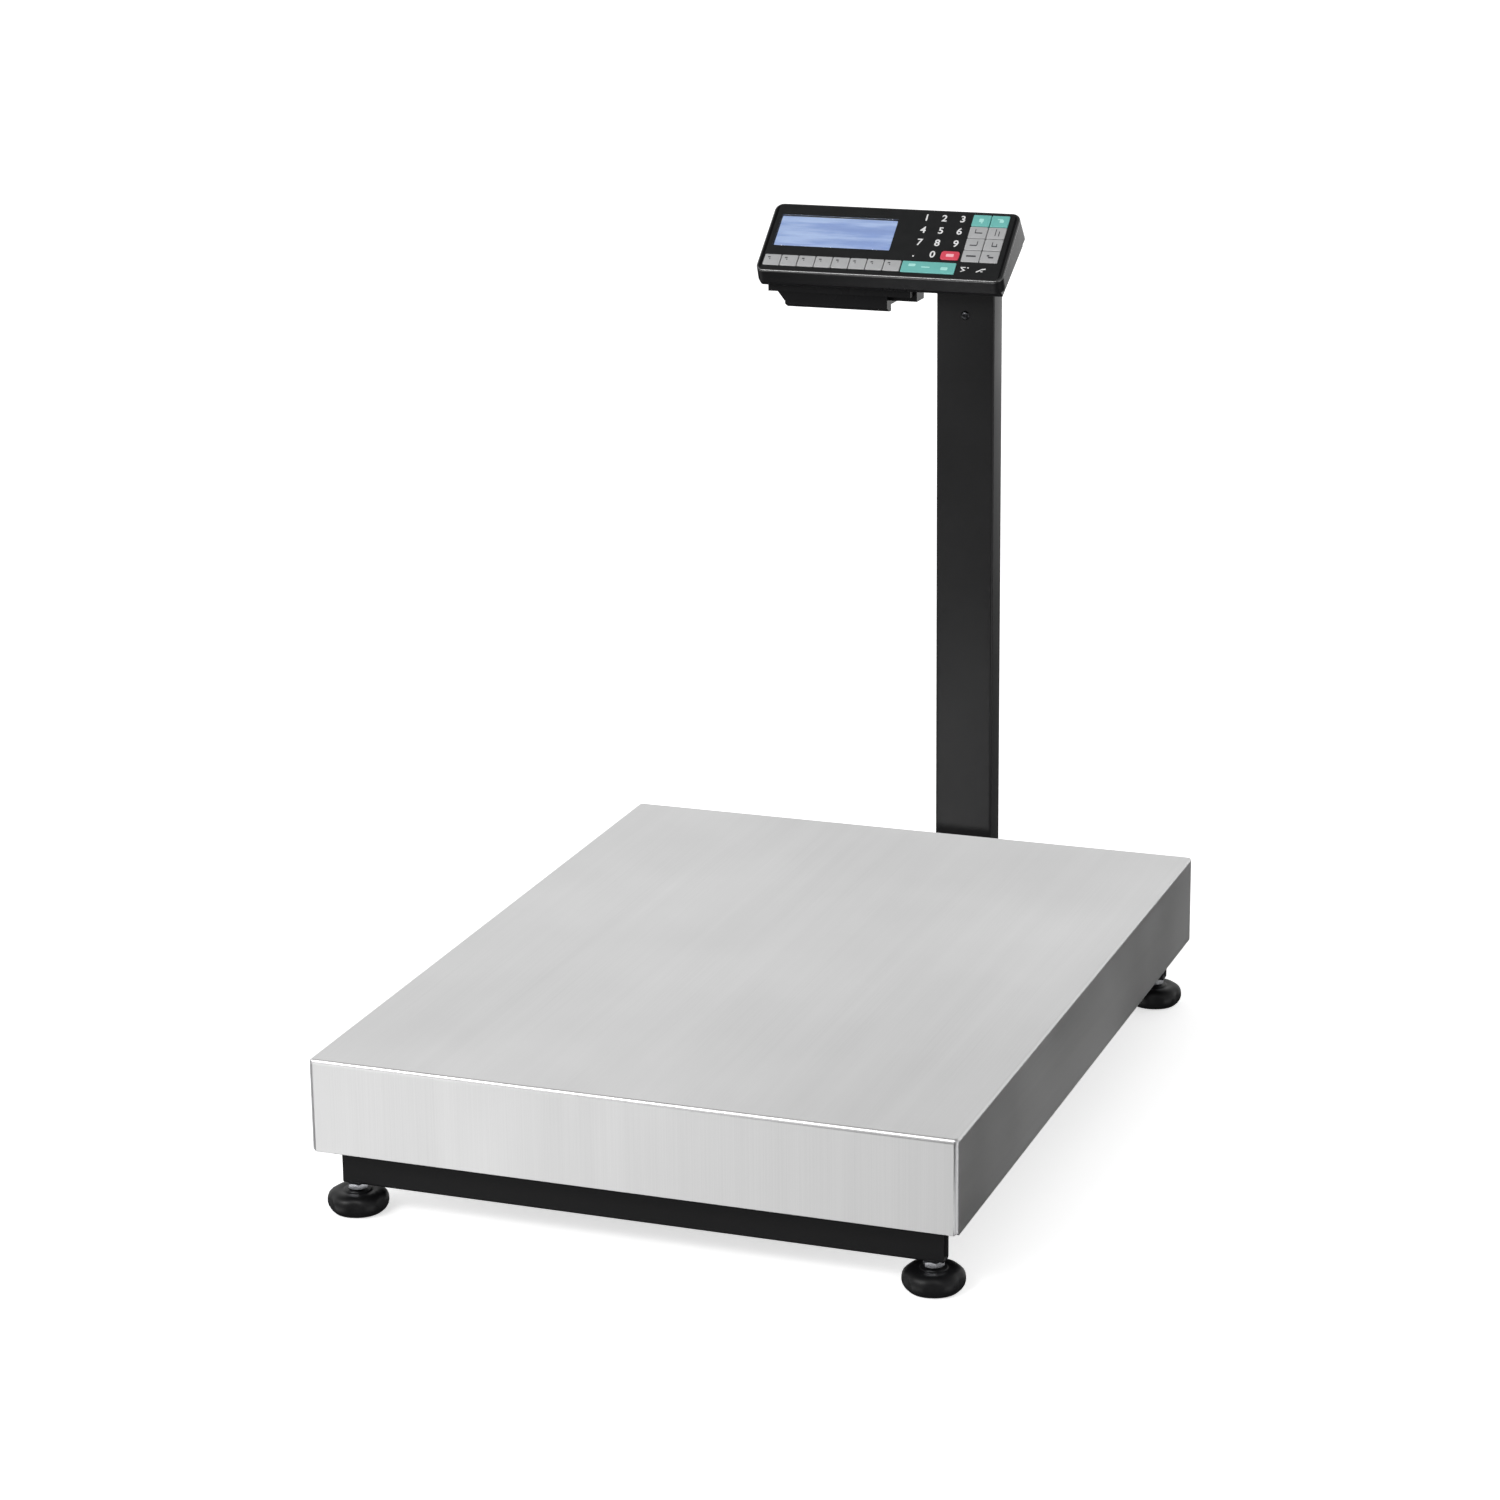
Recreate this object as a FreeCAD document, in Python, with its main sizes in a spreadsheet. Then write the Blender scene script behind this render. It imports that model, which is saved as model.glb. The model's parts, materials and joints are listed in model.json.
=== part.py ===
import FreeCAD, Part
import math
import os
import re

import Sketcher

# Platform scale with a post-mounted label printing terminal. Millimetres, +Z up, +X to the
# operator's right, -Y towards the operator. The origin is on the floor, under the centre of
# the bounding box.

Vector = FreeCAD.Vector
Rotation = FreeCAD.Rotation
Placement = FreeCAD.Placement
X_AXIS = Vector(1, 0, 0)
Y_AXIS = Vector(0, 1, 0)

DIMENSIONS = (
    # platform cover and the two frames
    ("platform_width", 600.0, "cover, left to right"),
    ("platform_length", 800.0, "cover, front to back"),
    ("platform_top", 150.0, "height of the weighing surface"),
    ("platform_y", -25.0, "centre of the platform"),
    ("cover_skirt", 88.0, "height of the cover's turned-down sides"),
    ("cover_sheet", 1.5, "stainless sheet of the cover"),
    ("cover_bend", 3.0, "outside bend radius of the cover"),
    ("pad_gap", 0.3, "free gap between a pad and the cover"),
    ("pad_height", 4.0, "rubber pad under the cover"),
    ("pad_radius", 15.0, "rubber pad under the cover"),
    ("pad_x", 265.0, "outer pads from the centre line"),
    ("cross_length", 590.0, "upper cross member, left to right"),
    ("cross_depth", 40.0, "upper cross member, front to back"),
    ("cross_height", 18.0, "upper cross member"),
    ("cross_y", 368.0, "outer cross members from the platform's centre"),
    ("rail_x", 170.0, "rails from the centre line"),
    ("rail_width", 25.0, "rail tube, left to right"),
    ("upper_rail_height", 26.0, "rail tube of the upper frame"),
    ("upper_rail_length", 776.0, "rail tube of the upper frame"),
    ("tube_wall", 2.0, "wall of every frame tube"),
    ("beam_length", 562.0, "front and rear beam"),
    ("beam_depth", 15.0, "front and rear beam"),
    ("beam_height", 45.0, "front and rear beam"),
    ("beam_bottom", 27.0, "underside of the beams above the floor"),
    ("beam_y", 372.0, "beam centres from the platform's centre"),
    ("rail_bottom", 32.0, "underside of the base rails"),
    ("rail_height", 40.0, "base rails"),
    # load cell and its plates
    ("cell_width", 60.0, "single-point load cell"),
    ("cell_length", 150.0, "single-point load cell"),
    ("cell_height", 36.0, "single-point load cell"),
    ("cell_bottom", 52.2, "underside of the load cell"),
    ("cell_eye_radius", 11.0, "bores that weaken the load cell"),
    ("cell_eye_y", 20.0, "load cell bores from its centre"),
    ("cell_bolt_radius", 4.0, "M8 load cell bolts"),
    ("cell_bolt_y", 58.0, "bolt rows from the load cell's centre"),
    ("cell_bolt_x", 19.0, "bolts from the load cell's centre line"),
    ("cell_seat", 4.0, "raised seats that hold the load cell's ends"),
    ("cell_seat_length", 34.0, "raised seats, front to back"),
    ("plate_thickness", 8.0, "plates above and below the load cell"),
    ("plate_length", 180.0, "plates above and below the load cell"),
    ("stop_radius", 5.0, "overload stop screws"),
    ("stop_y", 300.0, "overload stops from the platform's centre"),
    ("stop_gap", 0.9, "overload stop below the upper frame"),
    # levelling feet
    ("foot_x", 270.0, "feet from the centre line"),
    ("foot_radius", 27.9, "levelling foot"),
    ("foot_height", 20.5, "levelling foot"),
    ("foot_lobe_radius", 5.0, "scallops between the foot's finger lobes"),
    ("stud_radius", 5.0, "M10 stud of a foot"),
    ("stud_top", 66.0, "top end of the studs"),
    ("nut_flats", 17.0, "M10 lock nut across its flats"),
    ("nut_height", 5.0, "M10 lock nut"),
    ("shaft_clearance", 0.05, "radial clearance of a shaft in its bore"),
    # post
    ("post_x", 54.0, "post centre, to the right of the centre line"),
    ("post_y", 402.0, "post centre"),
    ("post_width", 60.0, "post tube"),
    ("post_depth", 30.0, "post tube"),
    ("post_corner", 2.5, "post tube's outside corners"),
    ("post_bottom", 30.0, "lower end of the post"),
    ("post_top", 724.0, "upper end of the post"),
    ("saddle_top", 59.0, "top of the saddle that holds the post"),
    ("saddle_wall", 4.0, "steel of the saddle"),
    ("post_bolt_radius", 4.0, "M8 post bolts"),
    ("post_screw_z", 689.0, "screw in the front of the post"),
    # terminal, in its own frame: u to the right, v up the face, w out of the face
    ("terminal_x", -23.6, "face centre"),
    ("terminal_y", 375.0, "face centre"),
    ("terminal_z", 761.4, "face centre"),
    ("face_angle", 40.0, "tilt of the face"),
    ("terminal_width", 257.5, "terminal, left to right"),
    ("face_half", 44.5, "half of the face's length"),
    ("case_wall", 2.5, "wall of both cases"),
    ("case_corner", 9.0, "corners of the cases"),
    ("case_rim", 2.2, "rounded edge round the face"),
    ("front_split", 13.0, "depth of the parting line at the front"),
    ("front_lean", 4.5, "lean of the front wall at the parting line"),
    ("rear_depth", 20.0, "depth of the upper case's rear wall"),
    ("rear_split", 29.5, "depth of the parting line at the rear"),
    ("rear_split_v", 37.0, "rear end of the parting line"),
    ("split_step", 2.5, "inset of the lower case at the parting line"),
    ("floor_front", 24.0, "depth of the lower case's floor at the front"),
    ("floor_rear", 38.5, "depth of the lower case's floor at the rear"),
    ("floor_front_v", -44.0, "front end of the lower case's floor"),
    ("floor_rear_v", 32.0, "rear end of the lower case's floor"),
    ("foil_width", 247.0, "keypad foil"),
    ("foil_length", 84.4, "keypad foil"),
    ("foil_corner", 1.0, "corner cuts of the keypad foil"),
    ("foil_thickness", 0.5, "keypad foil"),
    ("lcd_width", 123.0, "visible display"),
    ("lcd_length", 40.5, "visible display"),
    ("lcd_u", -57.0, "display centre"),
    ("lcd_v", 9.2, "display centre"),
    ("fit_gap", 0.3, "gap round the lens and the keys"),
    ("key_row_u", -50.6, "centre of the row of function keys"),
    ("key_row_v", -30.5, "centre of the row of function keys"),
    ("key_row_pitch", 18.0, "function keys"),
    ("key_row_length", 13.6, "function keys, along the face"),
    ("key_gap", 0.9, "gap between neighbouring keys"),
    ("wide_key_u", 50.1, "wide key centre"),
    ("wide_key_width", 55.4, "wide key"),
    ("wide_key_length", 14.2, "wide key"),
    ("wide_key_v", -30.8, "wide key centre"),
    ("block_u", 99.8, "centre of the key block on the right"),
    ("block_v", 9.2, "centre of the key block on the right"),
    ("block_pitch_u", 19.2, "key block"),
    ("block_pitch_v", 15.4, "key block"),
    ("red_key_u", 68.6, "small key beside the digits"),
    ("red_key_v", -14.3, "small key beside the digits"),
    ("red_key_width", 19.0, "small key beside the digits"),
    ("red_key_length", 11.0, "small key beside the digits"),
    ("key_proud", 0.7, "keys above the face"),
    ("key_bottom", 5.0, "depth of the keys' undersides"),
    ("board_depth", 14.0, "depth of the main board's top side"),
    ("board_thickness", 1.6, "main board"),
    ("screw_joint", 17.0, "depth where the case's screw sockets meet"),
    # label printer under the terminal
    ("bay_left", -128.0, "printer bay"),
    ("bay_right", -20.0, "printer bay"),
    ("bay_front", 363.0, "printer bay"),
    ("bay_rear", 425.0, "printer bay"),
    ("bay_bottom", 692.0, "printer bay"),
    ("bay_wall", 2.0, "printer bay"),
    ("bay_step_y", 376.0, "rear of the bay's deep nose"),
    ("bay_step_bottom", 698.5, "printer bay behind its nose"),
    ("bay_flank", 8.0, "slant of the bay's left side, at its top"),
    ("bay_chamfer_y", 8.0, "sloped front of the bay's floor"),
    ("bay_chamfer_z", 4.0, "sloped front of the bay's floor"),
    ("shoulder_left", -145.0, "shallow part beside the bay"),
    ("shoulder_right", 5.0, "shallow part beside the bay"),
    ("shoulder_bottom", 708.5, "shallow part beside the bay"),
    ("duct_right", 8.0, "wiring duct beside the bay"),
    ("duct_front", 373.0, "wiring duct beside the bay"),
    ("duct_rear", 396.0, "wiring duct beside the bay"),
    ("duct_bottom", 702.7, "wiring duct beside the bay"),
    ("bay_partition", -59.0, "wall between the roll and the motor"),
    ("roll_y", 401.5, "label roll axis"),
    ("roll_z", 717.2, "label roll axis"),
    ("roll_radius", 15.5, "label roll"),
    ("roll_core_radius", 6.35, "core of the label roll"),
    ("roll_width", 60.0, "label roll"),
    ("platen_y", 372.8, "platen roller axis"),
    ("platen_z", 705.5, "platen roller axis"),
    ("platen_radius", 5.0, "platen roller"),
    ("gear_module", 0.6, "tooth module of the platen gears"),
    ("gear_width", 4.0, "platen gears"),
    ("motor_radius", 9.0, "stepper motor can"),
    ("motor_length", 28.0, "stepper motor can"),
    ("hinge_y", 422.0, "door pin axis"),
    ("hinge_z", 701.7, "door pin axis"),
    ("pin_radius", 1.5, "door pin"),
    ("knuckle_radius", 3.0, "door knuckles"),
)
PLATEN_TEETH = 20
PINION_TEETH = 10
PINION_RISE = 35.0  # direction of the motor pinion from the platen, in degrees above +Y

doc = FreeCAD.newDocument("label_printing_scale")
sheet = doc.addObject("Spreadsheet::Sheet", "Sizes")
size = {}
for row, (alias, amount, meaning) in enumerate(DIMENSIONS, start=1):
    sheet.set(f"A{row}", alias)
    sheet.set(f"B{row}", str(amount))
    sheet.set(f"C{row}", meaning)
    sheet.setAlias(f"B{row}", alias)
    size[alias] = amount
doc.recompute()

sub_parts = []


# ---------------------------------------------------------------- helpers


def from_sheet(formula):
    """A formula with each alias written as a reference to the sheet."""
    return re.sub(
        r"[a-z]\w*",
        lambda word: "Sizes." + word.group(0) if word.group(0) in size else word.group(0),
        str(formula),
    )


def bind(thing, **formulas):
    """Binds properties to formulas. A double underscore in a name stands for a dot."""
    for path, formula in formulas.items():
        thing.setExpression(path.replace("__", "."), from_sheet(formula))
    return thing


def place(thing, x=0, y=0, z=0):
    return bind(thing, Placement__Base__x=x, Placement__Base__y=y, Placement__Base__z=z)


def place_on_face(thing, u=0, v=0, w=0):
    """Puts a thing in the terminal's frame, with its own origin at (u, v, w)."""
    thing.Placement = Placement(Vector(), Rotation(X_AXIS, 1.0))
    return bind(
        thing,
        Placement__Rotation__Angle="face_angle",
        Placement__Base__x=f"terminal_x + ({u})",
        Placement__Base__y=f"terminal_y + ({v}) * cos(face_angle) - ({w}) * sin(face_angle)",
        Placement__Base__z=f"terminal_z + ({v}) * sin(face_angle) + ({w}) * cos(face_angle)",
    )


def finished(thing, label):
    """Names a sub-part and adds it to those that are written."""
    thing.Label = label
    sub_parts.append(thing)
    return thing


def box(name, x0, y0, z0, x1, y1, z1):
    """A Part box between two corners given as formulas."""
    made = doc.addObject("Part::Box", name)
    bind(made, Length=f"({x1}) - ({x0})", Width=f"({y1}) - ({y0})", Height=f"({z1}) - ({z0})")
    return place(made, x0, y0, z0)


def cylinder(name, radius, height, x=0, y=0, z=0, along="Z"):
    """A Part cylinder that starts at a point and runs along +X, +Y or +Z."""
    made = doc.addObject("Part::Cylinder", name)
    turn = {"X": Rotation(Y_AXIS, 90), "Y": Rotation(X_AXIS, -90), "Z": Rotation()}[along]
    made.Placement = Placement(Vector(), turn)
    bind(made, Radius=radius, Height=height)
    return place(made, x, y, z)


def cut(name, base, tool):
    made = doc.addObject("Part::Cut", name)
    made.Base = base
    made.Tool = tool
    return made


def fuse(name, pieces):
    made = doc.addObject("Part::MultiFuse", name)
    made.Shapes = pieces
    return made


def group(name, pieces):
    """Separate solids that share one node."""
    made = doc.addObject("Part::Compound", name)
    made.Links = pieces
    return made


def new_body(name):
    return doc.addObject("PartDesign::Body", name)


def new_sketch(body, role, name, lift=0):
    """A sketch on one of the body's own origin planes, lifted along the plane's normal."""
    origin_plane = next(f for f in body.Origin.OriginFeatures if f.Role == role)
    sketch = body.newObject("Sketcher::SketchObject", name)
    sketch.AttachmentSupport = [(origin_plane, "")]
    sketch.MapMode = "FlatFace"
    return bind(sketch, AttachmentOffset__Base__z=lift)


def fix_point(sketch, geometry, point, x, y, near):
    for kind, formula, value in (("DistanceX", x, near[0]), ("DistanceY", y, near[1])):
        added = sketch.addConstraint(Sketcher.Constraint(kind, -1, 1, geometry, point, value))
        sketch.setExpression(f"Constraints[{added}]", from_sheet(formula))


def outline(sketch, corners):
    """A closed outline whose corners are pairs of formulas."""
    count = len(corners)
    first = sketch.GeometryCount
    turn = 2 * math.pi / count
    spots = [(math.cos(turn * i) + 2, math.sin(turn * i) + 2) for i in range(count)]
    for i in range(count):
        start = Vector(*spots[i], 0)
        end = Vector(*spots[(i + 1) % count], 0)
        sketch.addGeometry(Part.LineSegment(start, end), False)
    for i, (x, y) in enumerate(corners):
        follower = first + (i + 1) % count
        sketch.addConstraint(Sketcher.Constraint("Coincident", first + i, 2, follower, 1))
        fix_point(sketch, first + i, 1, x, y, spots[i])
    return sketch


def rectangle(sketch, x0, y0, x1, y1):
    return outline(sketch, [(x0, y0), (x1, y0), (x1, y1), (x0, y1)])


def cut_rectangle(sketch, half_x, half_y, corner):
    """A rectangle about the origin with its corners cut off."""
    short_x, short_y = f"({half_x} - {corner})", f"({half_y} - {corner})"
    corners = [
        (short_x, half_y),
        (half_x, short_y),
        (half_x, f"-{short_y}"),
        (short_x, f"-({half_y})"),
        (f"-{short_x}", f"-({half_y})"),
        (f"-({half_x})", f"-{short_y}"),
        (f"-({half_x})", short_y),
        (f"-{short_x}", half_y),
    ]
    return outline(sketch, corners)


def circle(sketch, x, y, radius):
    added = sketch.addGeometry(Part.Circle(Vector(1, 1, 0), Vector(0, 0, 1), 1), False)
    fix_point(sketch, added, 3, x, y, (1, 1))
    number = sketch.addConstraint(Sketcher.Constraint("Radius", added, 1.0))
    sketch.setExpression(f"Constraints[{number}]", from_sheet(radius))
    return sketch


def pad(body, sketch, length, both_ways=False):
    made = body.newObject("PartDesign::Pad", "Pad")
    made.Profile = sketch
    made.SideType = "Symmetric" if both_ways else "One side"
    return bind(made, Length=length)


def pocket(body, sketch, length, both_ways=False, reverse=False):
    """A pocket that is checked to take something away."""
    doc.recompute()
    before = body.Shape.Volume
    made = body.newObject("PartDesign::Pocket", "Pocket")
    made.Profile = sketch
    made.SideType = "Symmetric" if both_ways else "One side"
    made.Reversed = reverse
    bind(made, Length=length)
    doc.recompute()
    if not body.Shape.Volume < before - 1e-3:
        raise RuntimeError(f"a pocket in {body.Name} cuts nothing")
    return made


def edges_where(shape, test):
    return [f"Edge{i}" for i, edge in enumerate(shape.Edges, start=1) if test(edge)]


def straight_along(axis):
    """A test for straight edges along one axis."""

    def test(edge):
        if edge.Curve.TypeId != "Part::GeomLine":
            return False
        return abs(edge.Curve.Direction.normalize().dot(axis)) > 0.999

    return test


def at_height(z, tolerance=1e-4):
    """A test for edges that lie in one horizontal plane of the body's own frame."""

    def test(edge):
        bounds = edge.BoundBox
        return abs(bounds.ZMin - z) < tolerance and abs(bounds.ZMax - z) < tolerance

    return test


def fillet(body, radius, test):
    doc.recompute()
    base = body.Tip
    chosen = edges_where(base.Shape, test)
    if not chosen:
        raise RuntimeError(f"no edges of {body.Name} to round")
    made = body.newObject("PartDesign::Fillet", "Fillet")
    made.Base = (base, chosen)
    bind(made, Radius=radius)
    doc.recompute()
    return made


# ---------------------------------------------------------------- platform


def platform_cover():
    """A stainless tray upside down: flat top, turned-down skirts, welded corners."""
    body = new_body("cover")
    plan = new_sketch(body, "XY_Plane", "CoverPlan", "platform_top - cover_skirt")
    half_x, half_y = "platform_width / 2", "platform_length / 2"
    rectangle(plan, f"-{half_x}", f"-{half_y}", half_x, half_y)
    pad(body, plan, "cover_skirt")
    fillet(body, "cover_bend", straight_along(Vector(0, 0, 1)))
    fillet(body, "cover_bend", at_height(size["platform_top"]))
    inner_x = "platform_width / 2 - cover_sheet"
    inner_y = "platform_length / 2 - cover_sheet"
    hollow = new_sketch(body, "XY_Plane", "CoverInside", "platform_top - cover_sheet")
    rectangle(hollow, f"-({inner_x})", f"-({inner_y})", inner_x, inner_y)
    pocket(body, hollow, "cover_skirt")
    place(body, 0, "platform_y", 0)
    finished(body, "platform_cover")


def pad_positions():
    columns = ("-pad_x", "0", "pad_x")
    rows = ("platform_y - cross_y", "platform_y", "platform_y + cross_y")
    return [(x, y) for y in rows for x in columns]


def cover_pads():
    top = "platform_top - cover_sheet - pad_gap"
    discs = [
        cylinder("CoverPad", "pad_radius", "pad_height", x, y, f"{top} - pad_height")
        for x, y in pad_positions()
    ]
    finished(group("CoverPads", discs), "cover_pads")


CROSS_TOP = "(platform_top - cover_sheet - pad_gap - pad_height)"
UPPER_RAIL_TOP = f"({CROSS_TOP} - cross_height)"
UPPER_RAIL_BOTTOM = f"({UPPER_RAIL_TOP} - upper_rail_height)"


def tube_between(name, x0, y0, z0, x1, y1, z1, along):
    """A rectangular tube, open at both ends, along X or Y."""
    wall_x = "0" if along == "X" else "tube_wall"
    wall_y = "0" if along == "Y" else "tube_wall"
    outer = box(name + "Outside", x0, y0, z0, x1, y1, z1)
    inner = box(
        name + "Inside",
        f"({x0}) + {wall_x}",
        f"({y0}) + {wall_y}",
        f"({z0}) + tube_wall",
        f"({x1}) - {wall_x}",
        f"({y1}) - {wall_y}",
        f"({z1}) - tube_wall",
    )
    return cut(name, outer, inner)


def upper_cross_members():
    tubes = []
    for y in ("platform_y - cross_y", "platform_y", "platform_y + cross_y"):
        tubes.append(
            tube_between(
                "CrossTube",
                "-cross_length / 2",
                f"{y} - cross_depth / 2",
                UPPER_RAIL_TOP,
                "cross_length / 2",
                f"{y} + cross_depth / 2",
                CROSS_TOP,
                "X",
            )
        )
    finished(group("CrossMembers", tubes), "upper_cross_members")


def pair_of_rails(name, y0, z0, y1, z1):
    tubes = []
    for side in ("-rail_x", "rail_x"):
        x0, x1 = f"{side} - rail_width / 2", f"{side} + rail_width / 2"
        tubes.append(tube_between(name, x0, y0, z0, x1, y1, z1, "Y"))
    return group(name + "Pair", tubes)


def upper_rails():
    y0 = "platform_y - upper_rail_length / 2"
    y1 = "platform_y + upper_rail_length / 2"
    rails = pair_of_rails("UpperRail", y0, UPPER_RAIL_BOTTOM, y1, UPPER_RAIL_TOP)
    finished(rails, "upper_rails")


def base_rails():
    y0 = "platform_y - beam_y + beam_depth / 2"
    y1 = "platform_y + beam_y - beam_depth / 2"
    rails = pair_of_rails("BaseRail", y0, "rail_bottom", y1, "rail_bottom + rail_height")
    finished(rails, "base_rails")


def cross_beam(label, side):
    """A closed box beam with a threaded hole near each end for a foot's stud."""
    body = new_body(label)
    section = new_sketch(body, "YZ_Plane", "BeamSection")
    half_y = "beam_depth / 2"
    rectangle(section, f"-{half_y}", "beam_bottom", half_y, "beam_bottom + beam_height")
    pad(body, section, "beam_length", both_ways=True)
    fillet(body, "1.5", straight_along(X_AXIS))
    hollow = new_sketch(body, "YZ_Plane", "BeamInside")
    inner_y = "beam_depth / 2 - tube_wall"
    low, high = "beam_bottom + tube_wall", "beam_bottom + beam_height - tube_wall"
    rectangle(hollow, f"-({inner_y})", low, inner_y, high)
    pocket(body, hollow, "beam_length - 2 * tube_wall", both_ways=True)
    holes = new_sketch(body, "XY_Plane", "StudHoles", "beam_bottom + 1.5 * tube_wall")
    for x in ("-foot_x", "foot_x"):
        circle(holes, x, 0, "stud_radius + shaft_clearance")
    pocket(body, holes, "2 * tube_wall")
    place(body, 0, f"platform_y + ({side}) * beam_y", 0)
    finished(body, label)


# ---------------------------------------------------------------- load cell


def cell_bolt_holes(body, lift, y, depth, reverse=False):
    holes = new_sketch(body, "XY_Plane", "BoltHoles", lift)
    for x in ("-cell_bolt_x", "cell_bolt_x"):
        circle(holes, x, y, "cell_bolt_radius + shaft_clearance")
    pocket(body, holes, depth, reverse=reverse)


def load_cell():
    """An aluminium beam cell: two joined bores leave four thin flexures."""
    body = new_body("cell")
    side = new_sketch(body, "YZ_Plane", "CellSide")
    half = "cell_length / 2"
    rectangle(side, f"-{half}", "cell_bottom", half, "cell_bottom + cell_height")
    pad(body, side, "cell_width", both_ways=True)
    middle = "cell_bottom + cell_height / 2"
    for y in ("-cell_eye_y", "cell_eye_y"):
        eye = new_sketch(body, "YZ_Plane", "CellEye")
        circle(eye, y, middle, "cell_eye_radius")
        pocket(body, eye, "cell_width + 2", both_ways=True)
    slot = new_sketch(body, "YZ_Plane", "CellSlot")
    rectangle(slot, "-cell_eye_y", f"{middle} - 3", "cell_eye_y", f"{middle} + 3")
    pocket(body, slot, "cell_width + 2", both_ways=True)
    cell_bolt_holes(body, "cell_bottom + 16", "cell_bolt_y", "17")
    cell_bolt_holes(body, "cell_bottom + cell_height", "-cell_bolt_y", "16")
    place(body, 0, "platform_y", 0)
    finished(body, "load_cell")


def cell_plate(label, bottom, seat_bottom, seat_y, half_width):
    """A steel plate with a raised seat for one end of the load cell."""
    body = new_body(label)
    plan = new_sketch(body, "XY_Plane", "PlatePlan", bottom)
    half_y = "plate_length / 2"
    rectangle(plan, f"-({half_width})", f"-{half_y}", half_width, half_y)
    pad(body, plan, "plate_thickness")
    seat = new_sketch(body, "XY_Plane", "SeatPlan", seat_bottom)
    half_seat = "cell_seat_length / 2"
    rectangle(
        seat,
        "-cell_width / 2",
        f"{seat_y} - {half_seat}",
        "cell_width / 2",
        f"{seat_y} + {half_seat}",
    )
    pad(body, seat, "cell_seat")
    top = f"{bottom} + plate_thickness + cell_seat"
    cell_bolt_holes(body, top, seat_y, "plate_thickness + 2 * cell_seat + 1")
    place(body, 0, "platform_y", 0)
    finished(body, label)


def cell_mount_plate():
    bottom = "cell_bottom - cell_seat - plate_thickness"
    half_width = "rail_x - rail_width / 2"
    cell_plate("cell_mount_plate", bottom, "cell_bottom - cell_seat", "cell_bolt_y", half_width)


def live_plate():
    seat_bottom = "cell_bottom + cell_height"
    bottom = f"{UPPER_RAIL_BOTTOM} - plate_thickness"
    half_width = "rail_x + rail_width / 2"
    cell_plate("live_plate", bottom, seat_bottom, "-cell_bolt_y", half_width)


def bolt(name, radius, head_radius, head_height, length, x, y, z, upwards):
    """A plain bolt whose head starts at z and whose shank runs up or down from it."""
    head = cylinder(name + "Head", head_radius, head_height, x, y, z)
    shank_z = f"{z} + {head_height} - 0.1" if upwards else f"{z} - ({length}) + 0.1"
    shank = cylinder(name + "Shank", radius, length, x, y, shank_z)
    return fuse(name, [head, shank])


def cell_bolts():
    """Two bolts come up into the fixed end, and two go down into the live end."""
    under = "cell_bottom - cell_seat - plate_thickness - 6"
    lower, upper = [], []
    for x in ("-cell_bolt_x", "cell_bolt_x"):
        y = "platform_y + cell_bolt_y"
        lower.append(bolt("LowerBolt", "cell_bolt_radius", "6.5", "6", "26", x, y, under, True))
        y = "platform_y - cell_bolt_y"
        upper.append(bolt("UpperBolt", "cell_bolt_radius", "6.5", "6", "26", x, y, UPPER_RAIL_BOTTOM, False))
    finished(group("LowerBolts", lower), "cell_base_bolts")
    finished(group("UpperBolts", upper), "cell_live_bolts")


def hexagon(name, flats, height, x, y, z):
    prism = doc.addObject("Part::Prism", name)
    prism.Polygon = 6
    bind(prism, Circumradius=f"{flats} / 2 / cos(30)", Height=height)
    return place(prism, x, y, z)


def overload_stops():
    """Four set screws with jam nuts, a little below the upper rails."""
    screws = []
    top = f"{UPPER_RAIL_BOTTOM} - stop_gap"
    low = "rail_bottom + rail_height"
    for x in ("-rail_x", "rail_x"):
        for side in ("-", "+"):
            y = f"platform_y {side} stop_y"
            shank = cylinder("StopShank", "stop_radius", f"{top} - ({low})", x, y, low)
            nut = hexagon("StopNut", "nut_flats", "nut_height", x, y, low)
            screws.append(fuse("StopScrew", [shank, nut]))
    finished(group("StopScrews", screws), "overload_stops")


# ---------------------------------------------------------------- feet

FEET = {"front_left": (-1, -1), "front_right": (1, -1), "rear_left": (-1, 1), "rear_right": (1, 1)}


def foot_pad(name, x, y):
    """A moulded disc with finger lobes round it and a boss that grips the stud."""
    body = new_body(name)
    half = new_sketch(body, "XZ_Plane", "FootHalf")
    outline(
        half,
        [
            ("stud_radius", "3"),
            ("foot_radius - 12", "3"),
            ("foot_radius - 10", "0"),
            ("foot_radius - 7", "0"),
            ("foot_radius - 2.5", "2.5"),
            ("foot_radius", "7"),
            ("foot_radius", "12"),
            ("foot_radius - 2", "15.5"),
            ("foot_radius - 8", "foot_height - 1.5"),
            ("foot_radius - 12", "foot_height"),
            ("stud_radius", "foot_height"),
        ],
    )
    turned = body.newObject("PartDesign::Revolution", "Turned")
    turned.Profile = half
    turned.ReferenceAxis = (half, ["V_Axis"])
    turned.Angle = 360
    scallop = new_sketch(body, "XY_Plane", "Scallop", "4")
    circle(scallop, "foot_radius + foot_lobe_radius - 2", "0", "foot_lobe_radius")
    notch = pocket(body, scallop, "20", reverse=True)
    scallops = body.newObject("PartDesign::PolarPattern", "Scallops")
    scallops.Originals = [notch]
    axis = next(f for f in body.Origin.OriginFeatures if f.Role == "Z_Axis")
    scallops.Axis = (axis, [""])
    scallops.Angle = 360
    scallops.Occurrences = 8
    body.Tip = scallops
    return place(body, x, y, 0)


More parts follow.
